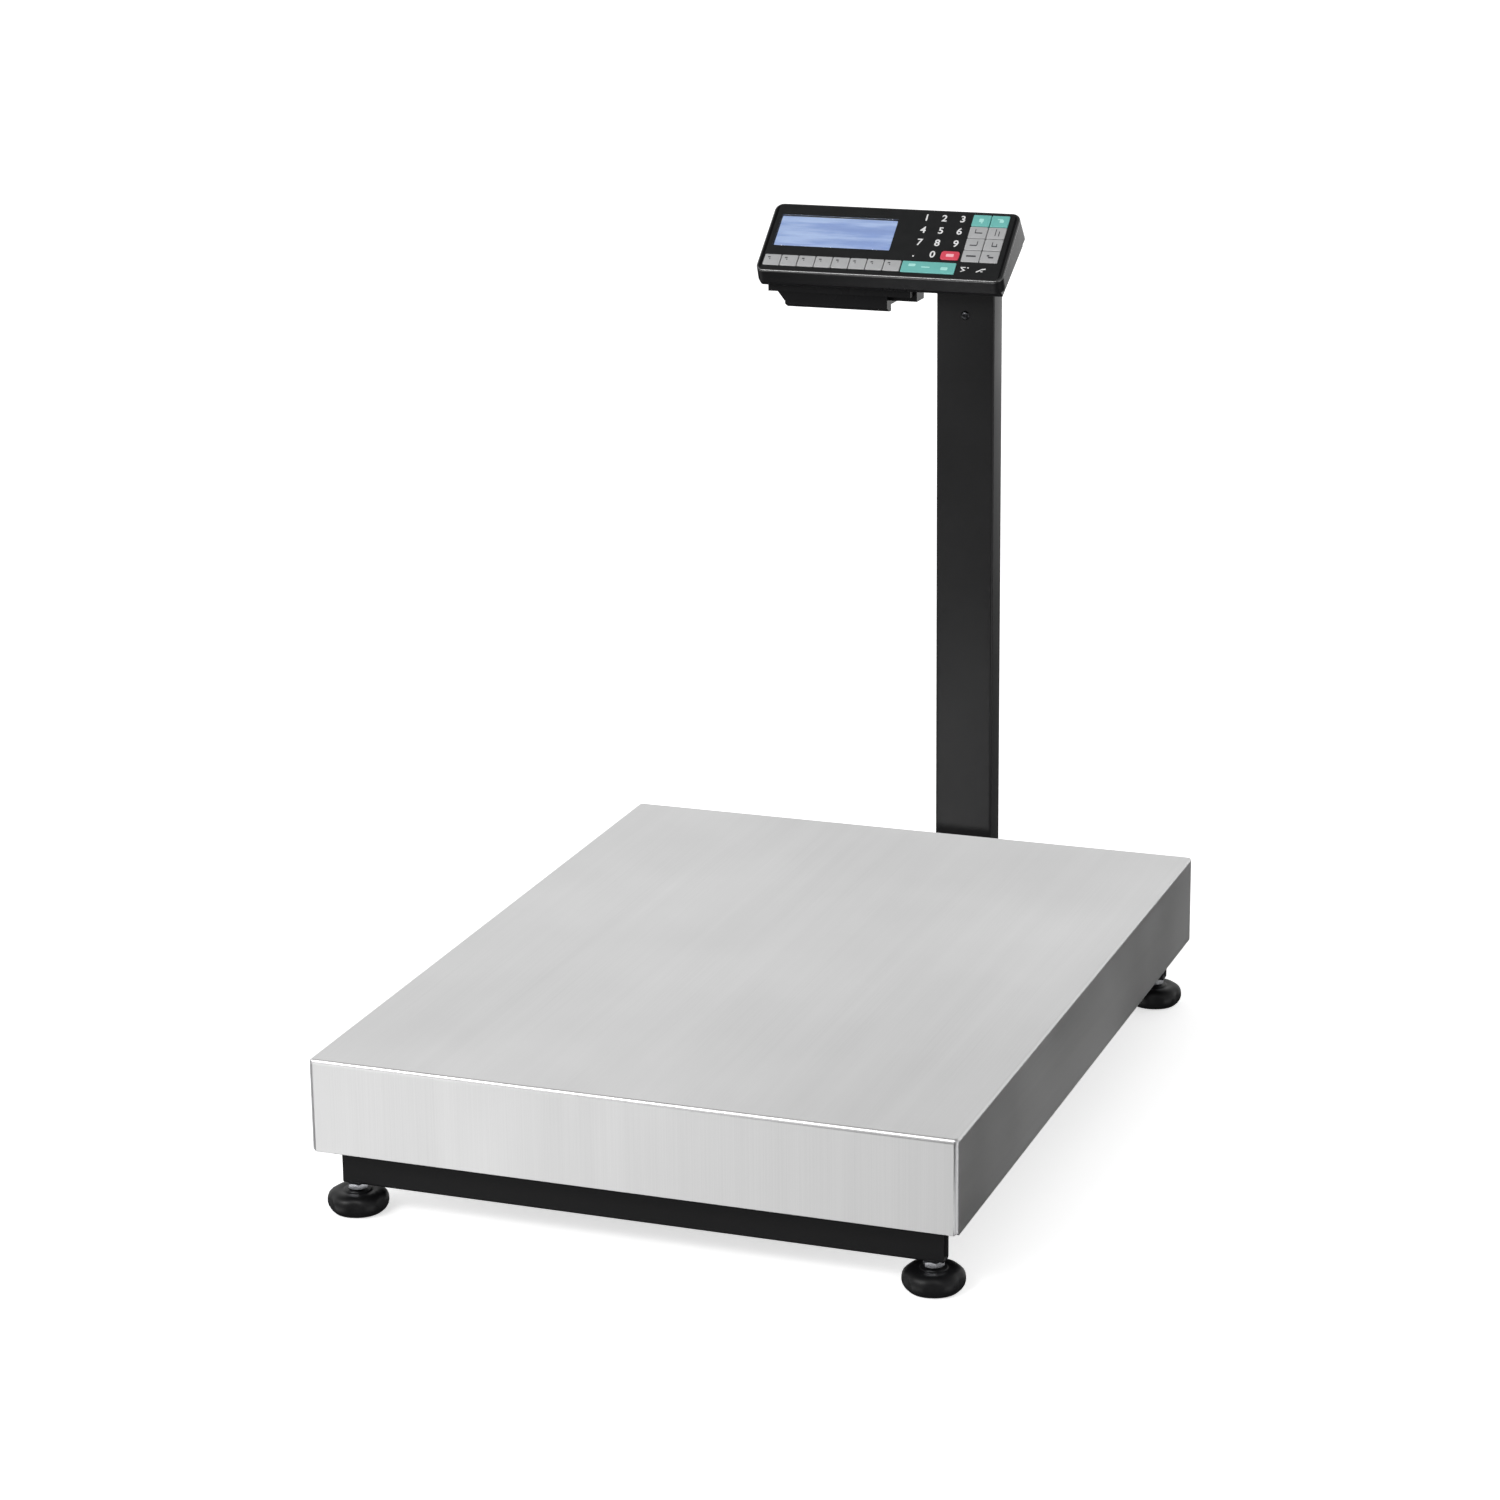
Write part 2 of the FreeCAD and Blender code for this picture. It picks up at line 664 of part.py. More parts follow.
def levelling_foot(corner, across, along):
    """A foot as it is bought: a plastic pad moulded round the end of a steel stud."""
    x, y = f"{across} * foot_x", f"platform_y + {along} * beam_y"
    moulded = foot_pad("foot_pad_" + corner, x, y)
    stud = cylinder("Stud", "stud_radius", "stud_top - 3", x, y, "3")
    finished(group("Foot", [moulded, stud]), "foot_" + corner)


def foot_lock_nuts():
    nuts = []
    for across, along in FEET.values():
        x, y = f"{across} * foot_x", f"platform_y + {along} * beam_y"
        z = "beam_bottom - nut_height"
        nut = hexagon("LockNut", "nut_flats", "nut_height", x, y, z)
        bore_radius = "stud_radius + shaft_clearance"
        bore = cylinder("NutBore", bore_radius, "nut_height + 2", x, y, f"{z} - 1")
        nuts.append(cut("BoredNut", nut, bore))
    finished(group("LockNuts", nuts), "foot_lock_nuts")


def spirit_level():
    """A round bubble level screwed to a base rail."""
    level = cylinder(
        "Level", "12", "10", "rail_x", "platform_y + stop_y - 60", "rail_bottom + rail_height"
    )
    finished(level, "spirit_level")


# ---------------------------------------------------------------- post

POST_FRONT = "(post_y - post_depth / 2)"


def post_tube():
    body = new_body("post")
    plan = new_sketch(body, "XY_Plane", "PostPlan", "post_bottom")
    half_x, half_y = "post_width / 2", "post_depth / 2"
    rectangle(plan, f"-{half_x}", f"-{half_y}", half_x, half_y)
    pad(body, plan, "post_top - post_bottom")
    fillet(body, "post_corner", straight_along(Vector(0, 0, 1)))
    inner_x = "post_width / 2 - tube_wall"
    inner_y = "post_depth / 2 - tube_wall"
    hollow = new_sketch(body, "XY_Plane", "PostInside", "post_top + 1")
    rectangle(hollow, f"-({inner_x})", f"-({inner_y})", inner_x, inner_y)
    pocket(body, hollow, "post_top - post_bottom + 2")
    screw_hole = new_sketch(body, "XZ_Plane", "ScrewHole", "post_depth / 2 + 1")
    circle(screw_hole, 0, "post_screw_z", "3.05")
    pocket(body, screw_hole, "tube_wall + 2")
    bolt_holes = new_sketch(body, "YZ_Plane", "BoltHoles")
    circle(bolt_holes, 0, "(post_bottom + saddle_top) / 2", "post_bolt_radius + shaft_clearance")
    pocket(body, bolt_holes, "post_width + 2", both_ways=True)
    place(body, "post_x", "post_y", 0)
    finished(body, "post_tube")


def post_saddle():
    """A U of plate welded to the rear beam, open to the rear, that holds the post's foot."""
    body = new_body("saddle")
    plan = new_sketch(body, "XY_Plane", "SaddlePlan", "post_bottom")
    beam_rear = "platform_y + beam_y + beam_depth / 2 - post_y"
    inner = "post_width / 2 + 0.2"
    outer = f"{inner} + saddle_wall"
    rear = "post_depth / 2"
    web = "-post_depth / 2 - 0.2"
    outline(
        plan,
        [
            (f"-({outer})", beam_rear),
            (outer, beam_rear),
            (outer, rear),
            (inner, rear),
            (inner, web),
            (f"-({inner})", web),
            (f"-({inner})", rear),
            (f"-({outer})", rear),
        ],
    )
    pad(body, plan, "saddle_top - post_bottom")
    holes = new_sketch(body, "YZ_Plane", "SaddleBolts")
    circle(holes, 0, "(post_bottom + saddle_top) / 2", "post_bolt_radius + shaft_clearance")
    pocket(body, holes, "post_width + 20", both_ways=True)
    place(body, "post_x", "post_y", 0)
    finished(body, "post_saddle")


def post_bolt():
    """One long bolt with a nut clamps the post in its saddle."""
    z = "(post_bottom + saddle_top) / 2"
    reach = "post_width / 2 + 0.2 + saddle_wall"
    left = f"post_x - ({reach})"
    length = f"2 * ({reach}) + 12"
    shank = cylinder("PostShank", "post_bolt_radius", length, f"{left} - 4", "post_y", z, "X")
    head = cylinder("PostBoltHead", "6.5", "6", f"{left} - 6", "post_y", z, "X")
    nut = cylinder("PostNut", "7", "6", f"post_x + {reach}", "post_y", z, "X")
    return fuse("PostBolt", [shank, head, nut])


FLOOR_ANGLE = (
    "(face_angle * 1 deg - atan((floor_rear - floor_front) / (floor_rear_v - floor_front_v)))"
)
FLOOR_FRONT_Y = (
    "(terminal_y + floor_front_v * cos(face_angle) + floor_front * sin(face_angle))"
)
FLOOR_FRONT_Z = (
    "(terminal_z + floor_front_v * sin(face_angle) - floor_front * cos(face_angle))"
)


def floor_height(y):
    """Height of the underside of the terminal's lower case at a place along Y."""
    return f"({FLOOR_FRONT_Z} + (({y}) - {FLOOR_FRONT_Y}) * tan({FLOOR_ANGLE}))"


def terminal_bracket():
    """A tongue inside the post, bent over at the top to carry the terminal."""
    body = new_body("bracket")
    side = new_sketch(body, "YZ_Plane", "BracketSide")
    thick = "3"
    rise = f"{thick} / cos({FLOOR_ANGLE})"
    tongue_front = f"{POST_FRONT} + tube_wall + 0.1"
    tongue_rear = f"{tongue_front} + {thick}"
    lip_front, lip_rear = "post_y - 28", "post_y + 13"
    outline(
        side,
        [
            (lip_front, floor_height(lip_front)),
            (lip_rear, floor_height(lip_rear)),
            (lip_rear, f"{floor_height(lip_rear)} - {rise}"),
            (tongue_rear, f"{floor_height(tongue_rear)} - {rise}"),
            (tongue_rear, "post_screw_z - 25"),
            (tongue_front, "post_screw_z - 25"),
            (tongue_front, f"{floor_height(tongue_front)} - {rise}"),
            (lip_front, f"{floor_height(lip_front)} - {rise}"),
        ],
    )
    pad(body, side, "post_width - 2 * tube_wall - 6", both_ways=True)
    screw_hole = new_sketch(body, "XZ_Plane", "ScrewHole", f"-({POST_FRONT})")
    circle(screw_hole, 0, "post_screw_z", "3.05")
    pocket(body, screw_hole, "10")
    place(body, "post_x", 0, 0)
    finished(body, "terminal_bracket")


def post_screw():
    """The screw through the front of the post into the bracket's tongue."""
    z = "post_screw_z"
    head = cylinder("ScrewHead", "4.5", "2", "post_x", f"{POST_FRONT} - 2", z, "Y")
    shank = cylinder("ScrewShank", "3", "9", "post_x", f"{POST_FRONT} - 1", z, "Y")
    return fuse("PostScrew", [head, shank])


def post_fasteners():
    finished(group("PostFasteners", [post_bolt(), post_screw()]), "post_fasteners")


# ---------------------------------------------------------------- terminal cases


def terminal_upper_case():
    """The moulded top shell: a face plate with four walls down to the parting line."""
    body = new_body("upper_case")
    side = new_sketch(body, "YZ_Plane", "UpperSide")
    outline(
        side,
        [
            ("-face_half", "0"),
            ("face_half", "0"),
            ("face_half", "-rear_depth"),
            ("rear_split_v", "-rear_split"),
            ("-face_half - front_lean", "-front_split"),
        ],
    )
    pad(body, side, "terminal_width", both_ways=True)
    doc.recompute()

    def upright_corner(edge):
        bounds = edge.BoundBox
        outer = abs(abs(bounds.XMin) - size["terminal_width"] / 2) < 1e-3
        front = bounds.YMax < -size["face_half"] + 0.1
        rear = bounds.YMin > size["face_half"] - 0.1
        upright = bounds.ZLength > 5
        return outer and bounds.XLength < 1e-3 and upright and (front or rear)

    fillet(body, "case_corner", upright_corner)
    fillet(body, "case_rim", at_height(0))
    inside = new_sketch(body, "YZ_Plane", "UpperInside")
    outline(
        inside,
        [
            ("-face_half - front_lean / 3 + case_wall + 0.6", "-case_wall - foil_thickness"),
            ("face_half - case_wall", "-case_wall - foil_thickness"),
            ("face_half - case_wall", "-rear_depth"),
            ("rear_split_v - split_step - 1", "-rear_split - 0.5"),
            ("-face_half - front_lean + case_wall", "-front_split - 6"),
        ],
    )
    pocket(body, inside, "terminal_width - 2 * case_wall - 1.2", both_ways=True)
    recess = new_sketch(body, "XY_Plane", "FoilRecess")
    cut_rectangle(recess, "foil_width / 2 + 0.1", "foil_length / 2 + 0.1", "foil_corner")
    pocket(body, recess, "foil_thickness")
    window = new_sketch(body, "XY_Plane", "Windows")
    for corners in window_corners("fit_gap"):
        rectangle(window, *corners)
    pocket(body, window, "case_wall + 2")
    jack = new_sketch(body, "XZ_Plane", "JackHole", "-face_half - 1")
    circle(jack, JACK_U, JACK_W, "5.1")
    pocket(body, jack, "case_wall + 2", reverse=True)
    sockets = new_sketch(body, "XY_Plane", "ScrewSockets", "-screw_joint")
    pilots = new_sketch(body, "XY_Plane", "PilotHoles", "-screw_joint")
    wall = "(terminal_width / 2 - case_wall + 0.5)"
    for v in SCREW_ROWS:
        rectangle(sockets, f"-{wall}", f"{v} - 3.3", f"3.3 - {SCREW_U}", f"{v} + 3.3")
        rectangle(sockets, f"{SCREW_U} - 3.3", f"{v} - 3.3", wall, f"{v} + 3.3")
    for u, v in CASE_SCREWS:
        circle(pilots, u, v, "1.55")
    pad(body, sockets, "5")
    pocket(body, pilots, "4.5", reverse=True)
    place_on_face(body)
    finished(body, "terminal_upper_case")


JACK_U = "30"
JACK_W = "-9"
SCREW_U = "117"
SCREW_ROWS = ("-20", "24")
CASE_SCREWS = [(u, v) for u in (f"-{SCREW_U}", SCREW_U) for v in SCREW_ROWS]


def floor_depth(v):
    """Depth of the lower case's underside below the face, at the height v on the face."""
    slope = "((floor_rear - floor_front) / (floor_rear_v - floor_front_v))"
    return f"(floor_front + (({v}) - floor_front_v) * {slope})"


def window_corners(margin):
    """The openings in the face for the lens and for each group of keys."""
    half_row = f"(4 * key_row_pitch - key_gap / 2 + {margin})"
    row_v = f"(key_row_length / 2 + {margin})"
    wide_u = f"(wide_key_width / 2 + {margin})"
    wide_v = f"(wide_key_length / 2 + {margin})"
    block_u = f"(block_pitch_u - key_gap / 2 + {margin})"
    block_v = f"(2 * block_pitch_v - key_gap / 2 + {margin})"
    red_u = f"(red_key_width / 2 + {margin})"
    red_v = f"(red_key_length / 2 + {margin})"
    lens_u = f"(lcd_width / 2 + {margin})"
    lens_v = f"(lcd_length / 2 + {margin})"
    centres = (
        ("lcd_u", "lcd_v", lens_u, lens_v),
        ("key_row_u", "key_row_v", half_row, row_v),
        ("wide_key_u", "wide_key_v", wide_u, wide_v),
        ("block_u", "block_v", block_u, block_v),
        ("red_key_u", "red_key_v", red_u, red_v),
    )
    return [(f"{u} - {du}", f"{v} - {dv}", f"{u} + {du}", f"{v} + {dv}") for u, v, du, dv in centres]


def terminal_lower_case():
    """The moulded bottom shell, inset at the parting line, with a sloping floor."""
    body = new_body("lower_case")
    side = new_sketch(body, "YZ_Plane", "LowerSide")
    split_slope = "((rear_split - front_split) / (rear_split_v + face_half + front_lean))"
    front_v = "(-face_half - front_lean + split_step)"
    rear_v = "(rear_split_v - split_step)"
    front_w = f"(-front_split - split_step * {split_slope})"
    rear_w = f"(-rear_split + split_step * {split_slope})"
    outline(
        side,
        [
            (front_v, front_w),
            (rear_v, rear_w),
            ("floor_rear_v", "-floor_rear"),
            ("floor_front_v", "-floor_front"),
        ],
    )
    pad(body, side, "terminal_width - 2 * split_step", both_ways=True)
    doc.recompute()

    def lower_rim(edge):
        bounds = edge.BoundBox
        low = bounds.ZMax < -size["floor_front"] + 0.1
        return low and bounds.YMax < size["floor_rear_v"] + 0.1

    fillet(body, "4", lower_rim)
    inside = new_sketch(body, "YZ_Plane", "LowerInside")
    outline(
        inside,
        [
            (f"{front_v} + case_wall", f"{front_w} + 3"),
            (f"{rear_v} - case_wall", f"{rear_w} + 3"),
            ("floor_rear_v - case_wall", "-floor_rear + case_wall"),
            ("floor_front_v + case_wall", "-floor_front + case_wall"),
        ],
    )
    pocket(body, inside, "terminal_width - 2 * split_step - 2 * case_wall", both_ways=True)
    board_bottom = "board_depth + board_thickness"
    for v, height in (("-28", "9.5"), ("27", "20.5")):
        bosses = new_sketch(body, "XY_Plane", "BoardBosses", f"-({board_bottom})")
        for u in ("-96", "96"):
            circle(bosses, u, v, "3")
        boss = pad(body, bosses, height)
        boss.Reversed = True
    for u, v in CASE_SCREWS:
        depth = floor_depth(v)
        socket = new_sketch(body, "XY_Plane", "ScrewSocket", f"1 - {depth}")
        circle(socket, u, v, "4")
        pad(body, socket, f"{depth} - 1.1 - screw_joint")
        shank = new_sketch(body, "XY_Plane", "ShankHole", "-screw_joint")
        circle(shank, u, v, "1.7")
        pocket(body, shank, f"{depth} - screw_joint")
        head = new_sketch(body, "XY_Plane", "HeadRecess", f"-1 - {depth}")
        circle(head, u, v, "3.4")
        pocket(body, head, "3.4", reverse=True)
    place_on_face(body)
    finished(body, "terminal_lower_case")


def face_plate(label, u, v, w_top, width, length, thickness):
    """A flat rectangular piece parallel to the face."""
    body = new_body(label)
    plan = new_sketch(body, "XY_Plane", "Plan")
    rectangle(plan, f"-({width}) / 2", f"-({length}) / 2", f"({width}) / 2", f"({length}) / 2")
    made = pad(body, plan, thickness)
    made.Reversed = True
    place_on_face(body, u, v, w_top)
    return body


def keypad_foil():
    """The printed foil that lies in the face's recess, open round the lens and the keys."""
    body = new_body("foil")
    plan = new_sketch(body, "XY_Plane", "FoilPlan")
    cut_rectangle(plan, "foil_width / 2", "foil_length / 2", "foil_corner")
    for corners in window_corners("fit_gap"):
        rectangle(plan, *corners)
    made = pad(body, plan, "foil_thickness")
    made.Reversed = True
    place_on_face(body)
    finished(body, "keypad_foil")


LENS_THICKNESS = "case_wall + foil_thickness - 0.2"


def display():
    lens = face_plate("lens", "lcd_u", "lcd_v", "-0.2", "lcd_width", "lcd_length", LENS_THICKNESS)
    finished(lens, "display_lens")
    module = face_plate(
        "module",
        "lcd_u",
        "lcd_v",
        "-case_wall - foil_thickness",
        "lcd_width + 10",
        "lcd_length + 12",
        "8",
    )
    finished(module, "display_module")


def main_board():
    board = face_plate("board", "0", "-1", "-board_depth", "224", "74", "board_thickness")
    finished(board, "main_board")


KEY_ROW = [f"function_key_{i}" for i in range(1, 9)]
KEY_BLOCK = [f"block_key_{r}{c}" for r in range(1, 5) for c in range(1, 3)]


def key_layout():
    """Each key as (name, u, v, width, length, corner radius)."""
    keys = []
    for i, name in enumerate(KEY_ROW):
        u = f"key_row_u + ({i} - 3.5) * key_row_pitch"
        keys.append((name, u, "key_row_v", "key_row_pitch - key_gap", "key_row_length", "0.8"))
    keys.append(("wide_key", "wide_key_u", "wide_key_v", "wide_key_width", "wide_key_length", "0.8"))
    keys.append(("red_key", "red_key_u", "red_key_v", "red_key_width", "red_key_length", "3"))
    for i, name in enumerate(KEY_BLOCK):
        row, column = divmod(i, 2)
        u = f"block_u + ({column} - 0.5) * block_pitch_u"
        v = f"block_v + (1.5 - {row}) * block_pitch_v"
        width, length = "block_pitch_u - key_gap", "block_pitch_v - key_gap"
        keys.append((name, u, v, width, length, "0.8"))
    return keys


def key_cap(name, u, v, width, length, corner):
    body = new_body(name)
    plan = new_sketch(body, "XY_Plane", "KeyPlan", "-key_bottom")
    rectangle(plan, f"-({width}) / 2", f"-({length}) / 2", f"({width}) / 2", f"({length}) / 2")
    pad(body, plan, "key_bottom + key_proud")
    fillet(body, corner, straight_along(Vector(0, 0, 1)))
    fillet(body, "0.4", at_height(size["key_proud"]))
    place_on_face(body, u, v, "0")
    finished(body, name)


def key_switches():
    """Tactile switches on the board, one under each key."""
    switches = []
    for _, u, v, _, _, _ in key_layout():
        base = doc.addObject("Part::Box", "Switch")
        bind(base, Length="6", Width="6", Height="board_depth - key_bottom - 0.6")
        place_on_face(base, f"{u} - 3", f"{v} - 3", "-board_depth")
        switches.append(base)
    finished(group("Switches", switches), "key_switches")


def power_inlet():
    """A round DC jack in the rear wall of the upper case."""
    outer = cylinder("JackBody", "5", "13", along="Y")
    mouth = cylinder("JackMouth", "3.2", "6", y="7.5", along="Y")
    socket = cylinder("JackSocket", "2.6", "5", y="3", along="Y")
    pin = cylinder("JackPin", "1", "5", y="2", along="Y")
    shell = cut("JackShell", outer, fuse("JackHollow", [mouth, socket]))
    jack = fuse("Jack", [shell, pin])
    holder = group("JackHolder", [jack])
    place_on_face(holder, JACK_U, "face_half - 12.8", JACK_W)
    finished(holder, "power_inlet")


def case_screws():
    """Four screws sunk in the underside, which hold the lower case to the upper one."""
    screws = []
    for u, v in CASE_SCREWS:
        depth = floor_depth(v)
        head = cylinder("ScrewHead", "3.2", "1.6")
        shank = cylinder("ScrewShank", "1.5", f"{depth} - 15.4", z="1.6")
        screw = group("Screw", [fuse("ScrewSolid", [head, shank])])
        place_on_face(screw, u, v, f"0.8 - {depth}")
        screws.append(screw)
    finished(group("CaseScrews", screws), "case_screws")


# ---------------------------------------------------------------- label printer


def block_section(front, rear, bottom):
    """A section in the YZ plane from a level bottom up to the terminal's sloping floor."""
    return [(rear, floor_height(rear)), (front, floor_height(front)), (front, bottom), (rear, bottom)]


def bay_section(inset, above=0):
    """The bay's section in the YZ plane, with its deep nose under the platen."""
    front, rear = f"bay_front + {inset}", f"bay_rear - {inset}"
    bottom, step_bottom = f"bay_bottom + {inset}", f"bay_step_bottom + {inset}"
    step = f"bay_step_y + {inset}"
    return [
        (rear, f"{floor_height(rear)} + {above}"),
        (front, f"{floor_height(front)} + {above}"),
        (front, f"{bottom} + bay_chamfer_z"),
        (f"{front} + bay_chamfer_y", bottom),
        (step, bottom),
        (step, step_bottom),
        (rear, step_bottom),
    ]


def pad_between(body, name, x0, x1, corners):
    section = new_sketch(body, "YZ_Plane", name, x0)
    outline(section, corners)
    return pad(body, section, f"({x1}) - ({x0})")


def bore_between(body, name, x0, x1, y, z, radius):
    bore = new_sketch(body, "YZ_Plane", name, x0)
    circle(bore, y, z, radius)
    pocket(body, bore, f"({x1}) - ({x0})", reverse=True)


def printer_bay():
    """The housing below the terminal, open at the rear where the door closes it."""
    body = new_body("bay")
    shoulder = block_section("bay_front - 2", "bay_rear - 12", "shoulder_bottom")
    pad_between(body, "Shoulder", "shoulder_left", "shoulder_right", shoulder)
    duct = block_section("duct_front", "duct_rear", "duct_bottom")
    pad_between(body, "Duct", "bay_right - 1", "duct_right", duct)
    pad_between(body, "Bay", "bay_left", "bay_right", bay_section(0))
    flank = new_sketch(body, "XZ_Plane", "Flank", "-bay_rear + 12")
    outline(
        flank,
        [
            ("bay_left + 1", "bay_step_bottom"),
            ("bay_left + 1", "shoulder_bottom + 1"),
            ("bay_left - bay_flank", "shoulder_bottom + 1"),
            ("bay_left - bay_flank", "shoulder_bottom"),
            ("bay_left", "bay_step_bottom"),
        ],
    )
    pad(body, flank, "bay_rear - 12 - bay_front")
    inside = new_sketch(body, "YZ_Plane", "BayInside", "bay_left + bay_wall")
    outline(inside, bay_section("bay_wall", 1))
    pocket(body, inside, "bay_right - bay_left - 2 * bay_wall", reverse=True)
    doorway = new_sketch(body, "YZ_Plane", "Doorway", "bay_left + bay_wall")
    rectangle(
        doorway, "hinge_y - knuckle_radius - 0.4", "bay_bottom - 1", "bay_rear + 1", "bay_bottom + 80"
    )
    pocket(body, doorway, "bay_partition - bay_left - bay_wall", reverse=True)
    slot = new_sketch(body, "XZ_Plane", "LabelSlot", "-bay_front + 1")
    top = "platen_z + platen_radius"
    rectangle(slot, "bay_left + 4", f"{top} - 1.2", "bay_partition - 2", f"{top} + 1.8")
    pocket(body, slot, "bay_wall + 2")
    partition_right = "bay_partition + bay_wall"
    pad_between(body, "Partition", "bay_partition", partition_right, bay_section("bay_wall / 2"))
    sides = (("bay_left - 1", "bay_left + 3"), ("bay_partition - 1", "bay_partition + 3"))
    for x0, x1 in sides:
        bore_between(body, "PlatenBore", x0, x1, "platen_y", "platen_z", "2 + shaft_clearance")
        bore_between(body, "PinBore", x0, x1, "hinge_y", "hinge_z", "pin_radius")
    finished(body, "printer_bay")


def printer_door():
    """The door over the label roll, hinged along its lower edge."""
    left, right = "bay_left + bay_wall + 0.4", "bay_partition - 0.4"
    top = f"{floor_height('bay_rear')} - 4"
    panel = box("DoorPanel", left, "bay_rear - bay_wall", "hinge_z", right, "bay_rear", top)
    knuckle = cylinder(
        "DoorKnuckle", "knuckle_radius", f"{right} - ({left})", left, "hinge_y", "hinge_z", along="X"
    )
    grip = box(
        "DoorGrip",
        "bay_left + 25",
        "bay_rear - 5",
        f"{top} - 3",
        "bay_partition - 23",
        "bay_rear - 1",
        f"{top} - 1",
    )
    bore_radius = "pin_radius + shaft_clearance"
    bore = cylinder("DoorBore", bore_radius, "100", "bay_left", "hinge_y", "hinge_z", along="X")
    finished(cut("Door", fuse("DoorWhole", [panel, knuckle, grip]), bore), "printer_door")


def door_pin():
    pin = cylinder(
        "DoorPin",
        "pin_radius",
        "bay_partition + bay_wall - bay_left",
        "bay_left",
        "hinge_y",
        "hinge_z",
        along="X",
    )
    finished(pin, "door_pin")


def gear_shape(teeth, width, bore):
    """A spur gear about X, from x = 0, with straight-sided teeth. One tooth points to +Y."""
    module = size["gear_module"]
    pitch_radius = module * teeth / 2
    tip, root = pitch_radius + 0.9 * module, pitch_radius - 1.15 * module
    step = 2 * math.pi / teeth
    profile = ((root, 0.30), (tip, 0.13), (tip, -0.13), (root, -0.30))
    corners = []
    for tooth in range(teeth):
        for radius, share in profile[::-1]:
            angle = step * (tooth + share)
            corners.append(Vector(0, radius * math.cos(angle), radius * math.sin(angle)))
    face = Part.Face(Part.makePolygon(corners + corners[:1]))
    blank = face.extrude(Vector(width, 0, 0))
    return blank.cut(Part.makeCylinder(bore, width, Vector(), X_AXIS))


def gear(label, teeth, bore, turn, x, y, z):
    """A gear as a Part feature, turned about its axis and then put in place."""
    made = doc.addObject("Part::Feature", label)
    made.Shape = gear_shape(teeth, size["gear_width"], bore)
    made.Placement = Placement(Vector(x, y, z), Rotation(X_AXIS, turn))
    finished(made, label)


def pinion_place():
    """Centre of the motor pinion, in mesh with the platen gear."""
    distance = size["gear_module"] * (PLATEN_TEETH + PINION_TEETH) / 2 + 0.1
    rise = math.radians(PINION_RISE)
    y = size["platen_y"] + distance * math.cos(rise)
    z = size["platen_z"] + distance * math.sin(rise)
    return y, z


def platen_and_gears():
    """The rubber platen on its shaft, its gear, and the pinion that drives it."""
    start, end = "bay_left + bay_wall + 1.5", "bay_partition - 1.5"
    roller = cylinder(
        "Roller", "platen_radius", f"{end} - ({start})", start, "platen_y", "platen_z", along="X"
    )
    shaft_end = "bay_partition + bay_wall + 6.6"
    shaft = cylinder(
        "PlatenShaft", "2", f"{shaft_end} - bay_left", "bay_left", "platen_y", "platen_z", along="X"
    )
    finished(fuse("Platen", [roller, shaft]), "platen_roller")
    gear_x = size["bay_partition"] + size["bay_wall"] + 2
    place_at = (gear_x, size["platen_y"], size["platen_z"])
    gear("platen_gear", PLATEN_TEETH, 2.0, PINION_RISE, *place_at)
    pinion_turn = PINION_RISE + 180 + 180 / PINION_TEETH
    gear("motor_pinion", PINION_TEETH, 1.0, pinion_turn, gear_x, *pinion_place())


def printer_motor():
    """A stepper motor can with its shaft."""
    y, z = pinion_place()
    gear_end = size["bay_partition"] + size["bay_wall"] + 2 + size["gear_width"]
    can = doc.addObject("Part::Feature", "printer_motor")
    body = Part.makeCylinder(size["motor_radius"], size["motor_length"], Vector(), X_AXIS)
    shaft_length = size["gear_width"] + 1
    shaft = Part.makeCylinder(0.95, shaft_length, Vector(-shaft_length, 0, 0), X_AXIS)
    can.Shape = body.fuse(shaft)
    can.Placement = Placement(Vector(gear_end + 1, y, z), Rotation())
    finished(can, "printer_motor")


def print_head():
    """A thermal head on its heat sink, pressed down on the platen."""
    head = box(
        "HeadPlate",
        "bay_left + bay_wall",
        "platen_y - 7",
        "platen_z + platen_radius + 0.3",
        "bay_partition",
        "platen_y + 7",
        "platen_z + platen_radius + 3.3",
    )
    sink = box(
        "HeatSink",
        "bay_left + bay_wall + 6",
        "platen_y",
        "platen_z + platen_radius + 3.2",
        "bay_partition - 6",
        "platen_y + 6",
        "platen_z + platen_radius + 9.3",
    )
    finished(fuse("PrintHead", [head, sink]), "print_head")


def label_roll():
    """The roll of labels on its spindle."""
    start = "(bay_left + bay_wall + bay_partition) / 2 - roll_width / 2"
    paper = cylinder("Paper", "roll_radius", "roll_width", start, "roll_y", "roll_z", along="X")
    core = cylinder(
        "Core", "roll_core_radius", "roll_width + 2", f"{start} - 1", "roll_y", "roll_z", along="X"
    )
    finished(cut("LabelRoll", paper, core), "label_roll")
    spindle = cylinder(
        "Spindle",
        "roll_core_radius - shaft_clearance",
        "bay_partition - bay_left - bay_wall",
        "bay_left + bay_wall",
        "roll_y",
        "roll_z",
        along="X",
    )
    finished(spindle, "roll_spindle")


# ---------------------------------------------------------------- the whole scale


